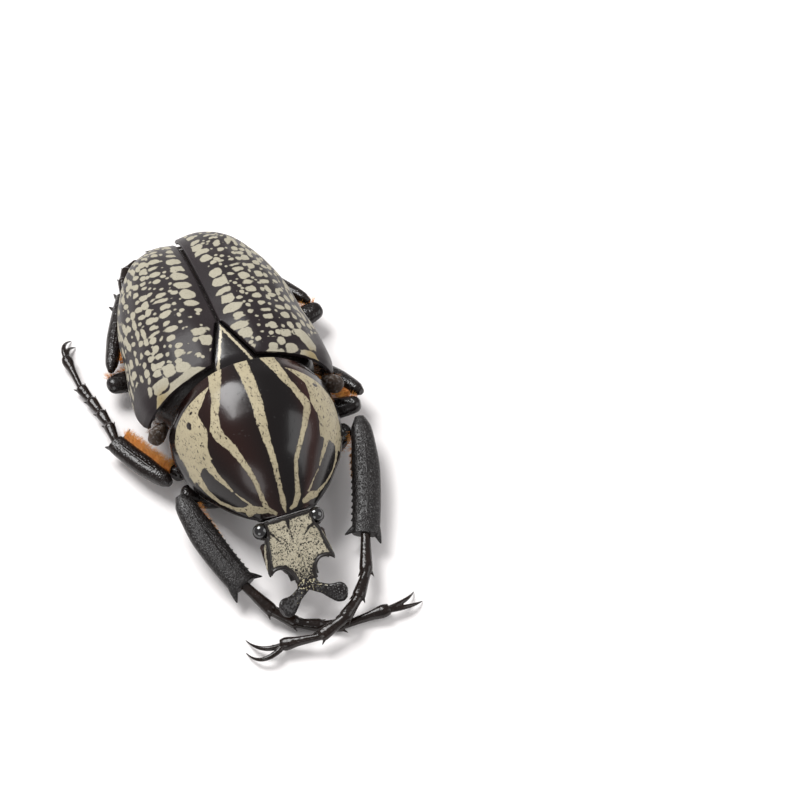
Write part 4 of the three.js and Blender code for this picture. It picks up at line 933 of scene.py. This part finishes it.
# A leaf of the club: place, and how far the outer leaves lie to the side of the middle one and above it.
FEELER_LEAF = [(4.6, 3.2, -2, 0.16, 0.1), (4.5, 4.2, -2.2, 0.24, 0.1), (4.4, 5.5, -2.5, 0.27, 0.1),
               (4.4, 6.3, -2.7, 0.2, 0)]
LEAF_WIDTHS, LEAF_DEPTHS = [0.25, 0.48, 0.5, 0.2], [0.13, 0.13, 0.13, 0.08]
MOUTH = [(0, 2, -5.25), (0, 4.2, -5.1), (0, 6.2, -4.1), (0, 7.6, -2.9)]
PALP = [(1.7, 4.2, -4.8), (2.3, 5.4, -4.5), (2.3, 6.6, -4.0), (2.0, 7.6, -3.5)]
PALP_RADII = [0.3, 0.34, 0.3, 0.16]


def ellipsoid(centre, radii, rows=20, columns=28):
    lat = np.linspace(-np.pi / 2, np.pi / 2, rows + 2)[1:-1, None]
    lon = np.linspace(0, 2 * np.pi, columns, endpoint=False)
    ball = points_of(np.cos(lat) * np.cos(lon), np.cos(lat) * np.sin(lon), np.sin(lat))
    return loft(ball * radii + centre)


# A compound eye: a hard clear gloss over black, broken only by its facets.
facets, tree, place = material("compound eye, black facets", Base_Color="#0b0a0b", Roughness=0.09, IOR=1.6,
                               Coat_Weight=0.6, Coat_Roughness=0.04)
cells = add(tree, "ShaderNodeTexVoronoi", {"Vector": place, "Scale": 1 / (FACET * MM), "Randomness": 0.15})
finish(tree, height=cells, strength=0.12, depth=0.01, invert=True)
# Thin chitin, which lets a little brown through.
brown_black, tree, place = material("chitin cuticle, brown black", Roughness=0.3, IOR=1.55,
                                    Specular_IOR_Level=0.3)
tint = add(tree, "ShaderNodeTexNoise", {"Vector": place, "Scale": 1 / (0.9 * MM), "Detail": 4.0})
shade = add(tree, "ShaderNodeMix", {0: tint, 6: "#120d0c", 7: "#38241c"}, data_type="RGBA")
finish(tree, shade, height=tint, strength=0.4, depth=0.06)
for word, side in SIDES.items():
    centre = head_point(mirrored(EYE_PLACE, side))
    points, faces = ellipsoid(centre, EYE_RADIUS, 40, 72)
    points[-2:] = centre - EYE_RADIUS * UPWARDS, centre + EYE_RADIUS * UPWARDS
    shell_piece(f"eye_{word}_globe", (points, faces), facets, f"eye_{word}")
    parts = [head_limb(mirrored(FEELER_STALK, side), [0.3, 0.6, 0.34], [0.36, 0.6, 0.36], UPWARDS, 24, 20)]
    for leaf in (-1, 0, 1):
        line = [(x + aside * leaf, v, w + above * leaf) for x, v, w, aside, above in FEELER_LEAF]
        parts.append(head_limb(mirrored(line, side), LEAF_WIDTHS, LEAF_DEPTHS, UPWARDS, 20, 20))
    shell_piece(f"feeler_{word}", welded(parts, 0.06, 2), brown_black, f"antenna_{word}")
parts = [head_limb(MOUTH, [2.1, 2.3, 1.9, 1.1], [0.7, 0.75, 0.65, 0.36], ACROSS, 32, 40, 2.4)]
for side in (1, -1):
    parts.append(head_limb(mirrored(PALP, side), PALP_RADII, PALP_RADII, ACROSS, 16, 24))
shell_piece("mouthparts_skin", welded(parts, 0.1, 2), brown_black, "mouthparts")

# The legs: a swollen thigh with its hip lobe, a flat shin with spines at its end, and a foot of five joints
# with two long sickle claws. Each piece is welded from tapered limbs; thighs and feet are glossy, shins
# carry grains.

# A femur has its hip, middle and knee, half width and depth, and the lobe's centre and radii. A tibia has
# its knee, end, half width and depth, bow to the left, and spines as (share along it, aside, forwards,
# sideways, up, radius). A tarsus has its joints' ends, their radius, and each claw's bend and tip.
LEGS = {
    "foreleg_right": {
        "femur": [(-3, -15, 2.75), (-8, -14.2, 2.6), (-12.6, -12.9, 3.5), (2.0, 1.45),
                  (-2.6, -15.2, 2.3, 1.9, 1.7, 1.5)],
        "tibia": [(-12.9, -14.7, 5.1), (-8.5, -30.6, 3), (2.15, 1.2), -0.5,
                  [(0.95, -1.4, 2.2, -0.7, -0.6, 0.75), (0.93, 1.4, 1.3, 1.8, 0, 0.6)]],
        "tarsus": [[(-5.7, -35.5, 1.9), (-2.9, -38.1, 1.3), (0.4, -39.4, 0.82), (3.5, -40.4, 0.82),
                    (10.3, -40.4, 1.5)], 0.9,
                   [[(13.2, -40.4, 2.1), (14.9, -38.1, 0.1)], [(13.6, -41.3, 1.7), (15.6, -40, 0.1)]]],
    },
    "foreleg_left": {
        "femur": [(3, -14.6, 2.75), (9, -12.7, 2.6), (14.8, -9.9, 3.4), (2.0, 1.4),
                  (2.6, -14.9, 2.3, 1.9, 1.7, 1.5)],
        "tibia": [(16.4, -10.2, 4.8), (10.9, -28.4, 3.3), (2.15, 1.2), 0.5,
                  [(0.95, 1.4, 2.2, 0.7, -0.6, 0.75), (0.93, -1.4, 1.3, -1.8, 0, 0.6)]],
        "tarsus": [[(8.8, -34.6, 3.2), (6.3, -38.2, 3.3), (3.3, -40.7, 3.3), (-0.8, -42, 2.6),
                    (-6.4, -40.8, 1.5)], 0.9,
                   [[(-9.6, -41.6, 1.9), (-10.7, -37.6, 0.1)], [(-10.2, -44, 1.9), (-11.3, -39.6, 0.1)]]],
    },
    "midleg_right": {
        "femur": [(-4.6, -4.1, 2.5), (-8.8, -6.4, 2.2), (-12.6, -8.9, 2.6), (1.75, 1.3),
                  (-3.6, -4.3, 2.45, 1.8, 1.35, 1.5)],
        "tibia": [(-13.6, -10.1, 3.4), (-19, -0.4, 2.8), (1.6, 1.2), 0.2,
                  [(0.95, 0.9, 1.5, 0.4, -0.5, 0.5), (0.93, -1, 0.95, -2.4, -0.2, 0.42)]],
        "tarsus": [[(-18.9, 3.4, 2.2), (-19.4, 6.3, 1.7), (-20.1, 9.3, 1.3), (-20.9, 12.1, 1.2),
                    (-21.5, 18, 1.4)], 0.8,
                   [[(-21.9, 20.6, 2), (-19.7, 21.6, 0.1)], [(-21.2, 19.8, 1.7), (-19.4, 20.2, 0.1)]]],
    },
    "midleg_left": {
        "femur": [(4.6, -4.1, 2.5), (11, -5.4, 2.8), (17.6, -7, 4.5), (1.75, 1.3),
                  (3.6, -4.3, 2.45, 1.8, 1.35, 1.5)],
        "tibia": [(18.2, -5, 4.7), (12.8, 4.2, 2), (1.4, 1.15), -0.2,
                  [(0.94, -0.9, 1.2, -0.9, -0.3, 0.45), (0.94, 0.9, 1.7, 0.9, -0.2, 0.4)]],
        "tarsus": [[(12.3, 7.6, 0.95), (12, 10.2, 0.8), (11.7, 12.8, 0.8), (11.2, 15.2, 0.8),
                    (9.8, 20.2, 0.9)], 0.7,
                   [[(8.8, 22.1, 1.7), (6.8, 22.2, 0.3)], [(9.3, 22.2, 1.6), (8.4, 23.4, 0.3)]]],
    },
    "hindleg_right": {
        "femur": [(-4.6, 10.2, 2.15), (-10.5, 10, 2.3), (-17.2, 9.2, 3.6), (1.95, 1.3),
                  (-3.9, 10.1, 2, 2.9, 1.6, 1.15)],
        "tibia": [(-15.9, 11.7, 4.3), (-10, 24.6, 3.3), (1.35, 1.15), 0.2,
                  [(0.78, 0.5, 0.9, 1.5, 0.1, 0.5), (0.95, 0.8, 1.4, 1, -0.2, 0.45),
                   (0.95, -0.7, 1.7, -0.6, -0.3, 0.4)]],
        "tarsus": [[(-9.2, 28.2, 2.8), (-8, 30.3, 2.2), (-5.9, 31.4, 1.5), (-3.4, 30.9, 1),
                    (1.6, 29.2, 0.8)], 0.75,
                   [[(3.9, 28.3, 1.6), (4.6, 26.4, 0.3)], [(3.4, 27.8, 1.5), (3, 26, 0.3)]]],
    },
    "hindleg_left": {
        "femur": [(4.6, 10.2, 2.1), (11, 11, 3), (17.9, 12.4, 3.6), (1.95, 1.2),
                  (3.9, 10.1, 2, 2.9, 1.6, 1.15)],
        "tibia": [(16.2, 14.2, 3.9), (8.8, 25.4, 1.6), (1.25, 1.1), -0.2,
                  [(0.78, -0.5, 0.9, -1.5, 0.1, 0.5), (0.95, -0.8, 1.4, -1, -0.2, 0.45),
                   (0.95, 0.7, 1.7, 0.6, -0.3, 0.4)]],
        "tarsus": [[(7.7, 28.7, 1.5), (6.7, 30.7, 1.2), (5, 31.9, 1), (2.8, 32.3, 0.8),
                    (-0.8, 32.2, 0.8)], 0.75,
                   [[(-3, 32.2, 1.7), (-4.4, 33.2, 0.3)], [(-3.1, 32.9, 1.6), (-4, 34.1, 0.3)]]],
    },
}
# Thigh: from which of its three points (0 the hip), share of the way to the next, and shares of width and
# depth.
THIGH_FORM = [(0, 0, 0.5, 0.66), (0, 0.12, 0.66, 0.8), (0, 0.35, 0.86, 0.94), (0, 0.75, 1, 1),
              (1, 0.2, 1, 1), (1, 0.65, 0.88, 0.95), (1, 0.88, 0.74, 0.85),
              (1, 0.97, 0.52, 0.62), (1, 1, 0.3, 0.36)]
# Shin and joints of the foot: share of the way along, and shares of width and depth.
SHIN_FORM = [(-0.035, 0.34, 0.46), (0.005, 0.5, 0.65), (0.06, 0.7, 0.85), (0.2, 0.84, 1), (0.45, 1, 1),
             (0.7, 0.98, 0.95), (0.9, 0.96, 0.9), (1, 0.9, 0.8)]
JOINT_FORM = [(0, 0.76, 0.76), (0.3, 0.84, 0.72), (0.6, 0.98, 0.86), (0.88, 1.1, 0.96), (1, 0.88, 0.8)]
LAST_JOINT_FORM = [(0, 0.56, 0.56), (0.3, 0.62, 0.72), (0.6, 0.76, 0.86), (0.88, 1.1, 0.96), (1, 0.88, 0.8)]
KEEL = {"shares": ((0.1, 0.8), (0.3, 0.93), (0.6, 0.93), (0.9, 0.82)), "half_width": 0.2, "half_depth": 0.17}
TEETH = {"count": 11, "from": 0.3, "to": 0.86, "forward": 0.34, "out": 0.42, "radius": 0.26}
CLAW_ROOT = 0.42  # half width of a claw where it starts
CLAW_TAPER = [1, 0.97, 0.92, 0.84, 0.74, 0.62, 0.47, 0.31, 0.15]


def sideways(along):
    """The level direction to the left of `along`."""
    return unit(np.array([-along[1], along[0], 0]))


def spine(root, tip, radius, point=0.12):
    """A thin cone from root to tip, blunt at the very end so that it can be welded."""
    at = root + (tip - root) * np.array([0, 0.35, 0.75, 1])[:, None]
    size = radius * np.array([1, 0.8, 0.42, point])
    return limb(np.column_stack([at, size, size]), np.array([0.31, 0.2, 1.0]), 12, 12)


def femur_parts(hip, middle, knee, size, lobe):
    line = np.array([hip, middle, knee], float)
    stations = [[*(line[i] + (line[i + 1] - line[i]) * t), size[0] * wide, size[1] * deep]
                for i, t, wide, deep in THIGH_FORM]
    return [limb(stations, ALONG, 40, 48, 2.2), ellipsoid(lobe[:3], lobe[3:])]


def shin_point(shin, t, offset=0.0, up=0.0):
    """A place on a shin: how far along, how far to the side and how high, in drawn millimetres."""
    a, b = np.array(shin[:2], float)
    return a + (b - a) * t + sideways(b - a) * (shin[3] * 4 * t * (1 - t) + offset) + up * UPWARDS


def tibia_parts(shin, serrate):
    """A shin with its spines and keel. `serrate` is the side of a row of small teeth, or 0 for none."""
    a, b, blade, _, spines = shin
    along = unit(np.subtract(b, a))
    across = sideways(along)
    stations = [[*shin_point(shin, t), blade[0] * wide, blade[1] * deep] for t, wide, deep in SHIN_FORM]
    parts = [limb(stations, across, 48, 64, 2.3)]
    for t, offset, forward, aside, up, radius in spines:
        root = shin_point(shin, t, offset)
        parts.append(spine(root, root + along * forward + across * aside + up * UPWARDS, radius))
    for t in np.linspace(TEETH["from"], TEETH["to"], TEETH["count"] if serrate else 0):
        root = shin_point(shin, t, serrate * blade[0] * 0.88)
        tip = root + along * TEETH["forward"] + across * serrate * TEETH["out"]
        parts.append(spine(root, tip, TEETH["radius"], 0.4))
    keel = [[*shin_point(shin, t, 0.1, blade[1] * high), KEEL["half_width"], KEEL["half_depth"]]
            for t, high in KEEL["shares"]]
    parts.append(limb(keel, across, 14, 40))
    return parts


def tarsus_parts(shin, joints, radius, claws):
    """Five joints, each with a spine at both sides but for the last, two claws, and the rod between them."""
    knee, apex = np.array(shin[:2], float)
    joints = np.array(joints)
    down = unit(apex - knee)
    turned = np.linalg.norm(np.cross(unit(joints[0] - apex), down))
    at = [apex - down * (0.55 - radius * 0.3 * turned), *joints]
    parts = []
    for i, (a, b) in enumerate(zip(at[:-1], at[1:])):
        last = i == len(joints) - 1
        along = unit(b - a)
        across = sideways(along)
        start = a if i == 0 else a - along * radius * 0.5
        stations = [[*(start + (b - start) * t), radius * wide, radius * deep]
                    for t, wide, deep in (LAST_JOINT_FORM if last else JOINT_FORM)]
        parts.append(limb(stations, across, 24, 24, 2.2))
        for turn in () if last else (1, -1):
            root = b - along * radius * 0.9 + across * turn * radius * 0.5
            tip = b + along * radius * 0.5 + across * turn * radius * 1.3 - radius * 0.2 * UPWARDS
            parts.append(spine(root, tip, radius * 0.36, 0.2))
    end = at[-1]
    taper = CLAW_ROOT * np.array(CLAW_TAPER)
    t = np.linspace(0, 1, len(taper))[:, None]
    for bend, tip in np.array(claws):
        path = (end - along * radius * 0.8) * (1 - t) ** 2 + bend * 2 * t * (1 - t) + tip * t**2
        parts.append(limb(np.column_stack([path, taper, taper * 1.1]), UPWARDS, 16, 40))
    middle = np.array(claws)[:, 1].mean(0)
    rod_tip = end + unit(middle - end) * radius * 1.5
    parts.append(spine(end - along * radius * 0.4, rod_tip, radius * 0.24, 0.5))
    return parts


def cuticle_skin(name, dark, light, rough, grain, size, depth):
    """Dark cuticle. grain: how much grey speckle, partly painted glint, shows; size and depth: those of the
    pits, in mm.
    """
    skin, tree, place = material(name, Roughness=rough, IOR=1.56, Specular_IOR_Level=0.3)
    cells = add(tree, "ShaderNodeTexVoronoi", {"Vector": place, "Scale": 1 / (size * MM), "Randomness": 0.9})
    broad = add(tree, "ShaderNodeTexNoise", {"Vector": place, "Scale": 1 / (1.6 * MM), "Detail": 4.0})
    fine = add(tree, "ShaderNodeTexNoise", {"Vector": place, "Scale": 1 / (size * 0.9 * MM), "Detail": 4.0,
                                            "Distortion": 0.6})
    tone = add(tree, "ShaderNodeMix", {0: broad, 6: dark, 7: light}, data_type="RGBA")
    # Grey speckle: partly the cuticle's own fleck, partly painted glint, the sparkle of lit grains put into
    # the colour.
    speck_and_glint = add(tree, "ShaderNodeMapRange", {"Value": fine, "From Min": 0.53, "From Max": 0.64,
                                             "To Max": grain})
    shade = add(tree, "ShaderNodeMix", {0: speck_and_glint, 6: tone, 7: "#8d8b8a"}, data_type="RGBA")
    hollow = add(tree, "ShaderNodeMapRange", {"Value": cells, "From Min": 0.1, "From Max": 0.55})
    high = add(tree, "ShaderNodeMath", {0: fine, 1: 0.6, 2: hollow}, operation="MULTIPLY_ADD")
    finish(tree, shade, height=high, strength=0.7, depth=depth)
    return skin


thigh_skin = cuticle_skin("thigh cuticle, black, glossy", "#0a0808", "#1a1210", 0.22, 0.04, 0.5, 0.04)
shin_skin = cuticle_skin("shin cuticle, black, coarse grains", "#0b0909", "#161110", 0.34, 0.16, 0.26, 0.07)
lower_skin = cuticle_skin("shin cuticle, black brown, glossy", "#0b0908", "#1d1411", 0.25, 0.06, 0.4, 0.05)
foot_skin = cuticle_skin("foot cuticle, dark brown, shiny", "#0b0807", "#21150f", 0.18, 0.02, 0.6, 0.03)
for name, leg in LEGS.items():
    fore = name.startswith("fore")
    serrate = -SIDES[name.split("_")[1]] if fore else 0
    thigh = welded(femur_parts(*leg["femur"]), 0.1, 2)
    shell_piece(name + "_thigh", thigh, thigh_skin, name + "_femur")
    shin = welded(tibia_parts(leg["tibia"], serrate), 0.085, 1)
    shell_piece(name + "_shin", shin, shin_skin if fore else lower_skin, name + "_tibia")
    foot = welded(tarsus_parts(leg["tibia"], *leg["tarsus"]), 0.08, 1)
    shell_piece(name + "_foot", foot, foot_skin, name + "_tarsus")

# The side plates: the brown knobs of the mid-body that show between the pronotum and the shoulders of the
# wing cases. They are coarsely pitted cuticle, hairy further below, each one short thick limb.
SIDE_PLATE = [(11.95, -3.8, 8.6, 0.5, 1.0), (13.4, -4.7, 8.4, 1.0, 1.7), (14.3, -5.1, 8.0, 0.9, 1.5),
              (15.0, -5.0, 7.7, 0.3, 0.5)]
PLATE_SHIFT = {"left": PRONOTUM_SHIFT, "right": PRONOTUM_SHIFT / 2}
plate_skin = cuticle_skin("side plate cuticle, brown, pitted", "#1c1411", "#4a3a2c", 0.42, 0.45, 0.5, 0.1)
for word, side in SIDES.items():
    stations = [(side * x + PLATE_SHIFT[word], y, z, wide, deep) for x, y, z, wide, deep in SIDE_PLATE]
    plate = welded([limb(stations, ALONG, 36, 36, 2.2)], 0.09, 2)
    shell_piece(f"side_plate_{word}_skin", plate, plate_skin, f"side_plate_{word}")

# The bristles: stiff orange hairs in fringes along the shins and thighs, and brown ones round the mid-body.
# Each hair is a bent, tapering cone, planted by one node tree on a narrow root strip, and leans as the
# strip's lie says.
BEND = {"middle": (0, 0, 0.55), "end": (0.28, 0, 0.95)}  # the line of a hair 1 long
TIP_RADIUS = 0.12  # as a share of the root's
HAIR_LENGTHS = (0.6, 1.15)  # as shares of the length that is asked for
UV_PATCH = 0.003  # how much of the bake map one hair takes


def bristle_tree():
    tree = bpy.data.node_groups.new("bristles", "GeometryNodeTree")
    tree.interface.new_socket("Roots", in_out="INPUT", socket_type="NodeSocketGeometry")
    sizes = {}
    for name, kind in (("Density", "Float"), ("Length", "Float"), ("Slimness", "Float"), ("Spread", "Float"),
                       ("Seed", "Int"), ("Hair", "Material")):
        socket = tree.interface.new_socket(name, in_out="INPUT", socket_type="NodeSocket" + kind)
        sizes[name] = socket.identifier
    tree.interface.new_socket("Bristles", in_out="OUTPUT", socket_type="NodeSocketGeometry")
    given = tree.nodes.new("NodeGroupInput").outputs
    planted = add(tree, "GeometryNodeDistributePointsOnFaces",
                  {"Mesh": given["Roots"], "Density": given["Density"], "Seed": given["Seed"]})
    line = add(tree, "GeometryNodeCurveQuadraticBezier",
               {"Resolution": 4, "Start": (0, 0, 0), "Middle": BEND["middle"], "End": BEND["end"]})
    factor = add(tree, "GeometryNodeSplineParameter")
    marked = add(tree, "GeometryNodeStoreNamedAttribute", {"Geometry": line, "Name": "tip", "Value": factor})
    taper = add(tree, "ShaderNodeMath", {0: factor, 1: TIP_RADIUS - 1, 2: 1.0}, operation="MULTIPLY_ADD")
    section = add(tree, "GeometryNodeCurvePrimitiveCircle", {"Resolution": 3, "Radius": given["Slimness"]})
    hair = add(tree, "GeometryNodeCurveToMesh",
               {"Curve": marked, "Profile Curve": section, "Scale": taper, "Fill Caps": True})
    lie = add(tree, "GeometryNodeInputNamedAttribute", {"Name": "lie"}, data_type="FLOAT_VECTOR")
    stand = add(tree, "FunctionNodeAlignRotationToVector", {"Vector": lie}, axis="Z")
    low = add(tree, "ShaderNodeMath", {0: given["Spread"], 1: -1.0}, operation="MULTIPLY")
    turns = []
    for offset in (1.0, 2.0):
        seed = add(tree, "ShaderNodeMath", {0: given["Seed"], 1: offset}, operation="ADD")
        turns.append(add(tree, "FunctionNodeRandomValue", {2: low, 3: given["Spread"], "Seed": seed}))
    roll = add(tree, "FunctionNodeRandomValue", {2: 0.0, 3: 6.28, "Seed": given["Seed"]})
    euler = add(tree, "ShaderNodeCombineXYZ", {"X": turns[0], "Y": turns[1], "Z": roll})
    turned = add(tree, "FunctionNodeEulerToRotation", {0: euler})
    leaned = add(tree, "FunctionNodeRotateRotation", {0: stand, 1: turned}, rotation_space="LOCAL")
    least, most = HAIR_LENGTHS
    vary = add(tree, "FunctionNodeRandomValue", {2: least, 3: most, "Seed": given["Seed"]})
    long = add(tree, "ShaderNodeMath", {0: vary, 1: given["Length"]}, operation="MULTIPLY")
    placed = add(tree, "GeometryNodeInstanceOnPoints",
                 {"Points": planted, "Instance": hair, "Rotation": leaned, "Scale": long})
    real = add(tree, "GeometryNodeRealizeInstances", {0: placed})
    smooth = add(tree, "GeometryNodeSetShadeSmooth", {0: real})
    dressed = add(tree, "GeometryNodeSetMaterial", {"Geometry": smooth, "Material": given["Hair"]})
    add(tree, "NodeGroupOutput", {0: dressed})
    return tree, sizes


bristles, bristle_sizes = bristle_tree()


def values_of(attribute, key, width):
    values = np.zeros(len(attribute.data) * width)
    attribute.data.foreach_get(key, values)
    return values.reshape(-1, width)


def fringe(name, path, lie, tall, length, density, skin, seed, slim=0.022, spread=0.28):
    """A fringe along a path, in drawn mm. lie: which way its hairs point. density: hairs per square mm."""
    path = np.asarray(path, float)
    count = len(path)
    lie = unit(np.broadcast_to(lie, (count, 3)))
    up = unit(np.cross(np.gradient(path, axis=0), lie)) * tall / 2
    points = np.stack([path - up, path + up], 1).reshape(-1, 3)
    mesh = bpy.data.meshes.new(name + "_roots")
    mesh.from_pydata((points * UNIT).tolist(), [],
                     [(2 * i, 2 * i + 1, 2 * i + 3, 2 * i + 2) for i in range(count - 1)])
    gone = travelled(path)
    root_uv = points_of(np.repeat(gone / gone[-1] * 0.9 + 0.05, 2), np.tile([0.3, 0.7], count), 0)
    for key, values in (("lie", np.repeat(lie, 2, axis=0)), ("root_uv", root_uv)):
        mesh.attributes.new(key, "FLOAT_VECTOR", "POINT").data.foreach_set("vector", values.ravel())
    strip = add_object(name + "_roots", mesh)
    grown = strip.modifiers.new("bristles", "NODES")
    grown.node_group = bristles
    inputs = {"Density": density / UNIT**2, "Length": length * UNIT, "Slimness": slim, "Spread": spread,
              "Seed": seed, "Hair": skin}
    for key, value in inputs.items():
        grown[bristle_sizes[key]] = value
    made = evaluated_mesh(strip)
    made.name = name
    # Each hair bakes to a tiny patch of the map beside the place of its root.
    tips = values_of(made.attributes["tip"], "value", 1)[:, 0]
    patch = points_of((np.arange(len(tips)) % 3 - 1) * UV_PATCH / 2, (tips - 0.5) * UV_PATCH)
    place = values_of(made.attributes["root_uv"], "vector", 3)[:, :2] + patch
    corners = np.zeros(len(made.loops), np.int32)
    made.loops.foreach_get("vertex_index", corners)
    made.uv_layers.new(name="OFBake").data.foreach_set("uv", place[corners].ravel())
    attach(add_object(name, made), "root")


def hair_skin(name, root, tip):
    """Hair, darker where it is rooted. The colours wander along the fringe."""
    skin, tree, place = material(name, Roughness=0.42, IOR=1.5)
    along = add(tree, "ShaderNodeAttribute", attribute_name="tip").outputs["Fac"]
    wander = add(tree, "ShaderNodeTexNoise", {"Vector": place, "Scale": 1 / (0.8 * MM), "Detail": 2.0})
    mixed = add(tree, "ShaderNodeMath", {0: wander, 1: 0.5, 2: along}, operation="MULTIPLY_ADD")
    finish(tree, add(tree, "ShaderNodeMix", {0: mixed, 6: root, 7: tip}, data_type="RGBA"))
    return skin


orange_hair = hair_skin("bristle, orange", "#c26c1e", "#f2ac56")
brown_hair = hair_skin("bristle, brown", "#3a2415", "#8a5a2c")
# Hairs per square mm and their length in mm on the shins and thighs.
SHIN_HAIR = {"foreleg": (22, 0.8), "midleg": (190, 1.9), "hindleg": (110, 1.5)}
THIGH_HAIR = {"foreleg": (20, 0.9), "midleg": (60, 1.2), "hindleg": (60, 1.2)}
SHIN_SPAN = {"foreleg": (0.1, 0.5), "midleg": (0.1, 0.93), "hindleg": (0.1, 0.93)}
for number, (name, leg) in enumerate(LEGS.items()):
    kind, word = name.split("_")
    shin = leg["tibia"]
    along = unit(np.subtract(shin[1], shin[0]))
    across = sideways(along)
    # The inner edge of a shin is the one that faces the body.
    inward = -np.sign(across[0] * SIDES[word])
    edge = [shin_point(shin, t, inward * shin[2][0] * 0.86) for t in np.linspace(*SHIN_SPAN[kind], 30)]
    dense, long = SHIN_HAIR[kind]
    lie = across * inward + along * 0.55 + 0.1 * UPWARDS
    fringe(name + "_shin_fringe", edge, lie, 1.0, long, dense, orange_hair, 40 + number)
    bend, end = np.array(leg["femur"][1:3], float)
    t = np.linspace(0.15, 0.92, 26)[:, None]
    way = unit(end - bend)
    rear = sideways(way)
    rear = rear if (rear[1] < 0) == (kind == "foreleg") else -rear
    edge = bend + (end - bend) * t + rear * leg["femur"][3][0] * (0.92 - 0.25 * t**2)
    dense, long = THIGH_HAIR[kind]
    lie = rear + way * 0.5 + 0.15 * UPWARDS
    fringe(name + "_thigh_fringe", edge, lie, 0.9, long, dense, orange_hair, 60 + number)

# Brown hair on the front of the hind thorax, seen in the gap behind the pronotum, along its flanks and on
# the side plates.
COLLAR_ROW = -3.1
PLATE_HAIR = [(12.3, -3.6, 8.9), (14.6, -4.3, 8.5)]
width, edge_height, crown, power = under_elytra(COLLAR_ROW + 0.1, thorax)
turn = np.linspace(0.12, 0.88, 60) * np.pi
collar = arch(np.cos(turn), COLLAR_ROW, width, edge_height, crown, power, 0)
lie = points_of(0.4 * np.cos(turn), -0.5, 0.8 * np.sin(turn) + 0.3)
fringe("collar_hair", collar, lie, 1.4, 0.8, 30, brown_hair, 81, spread=0.6)
for word, side in SIDES.items():
    y = np.linspace(-2.6, 11.8, 50)
    flank = points_of(side * thorax["half_width"](y) * 0.985, y, thorax["edge"](y) - 1.0)
    lie = [side * 0.75, 0.35, -0.5]
    fringe(f"flank_hair_{word}", flank, lie, 2.2, 1.1, 22, brown_hair, 85 + side, spread=0.45)
    ends = mirrored(PLATE_HAIR, side) + PLATE_SHIFT[word] * ACROSS
    row = np.linspace(*ends, 24)
    lie = [side * 0.55, 0.5, 0.45]
    fringe(f"plate_hair_{word}", row, lie, 1.6, 0.9, 45, brown_hair, 91 + side, spread=0.5)
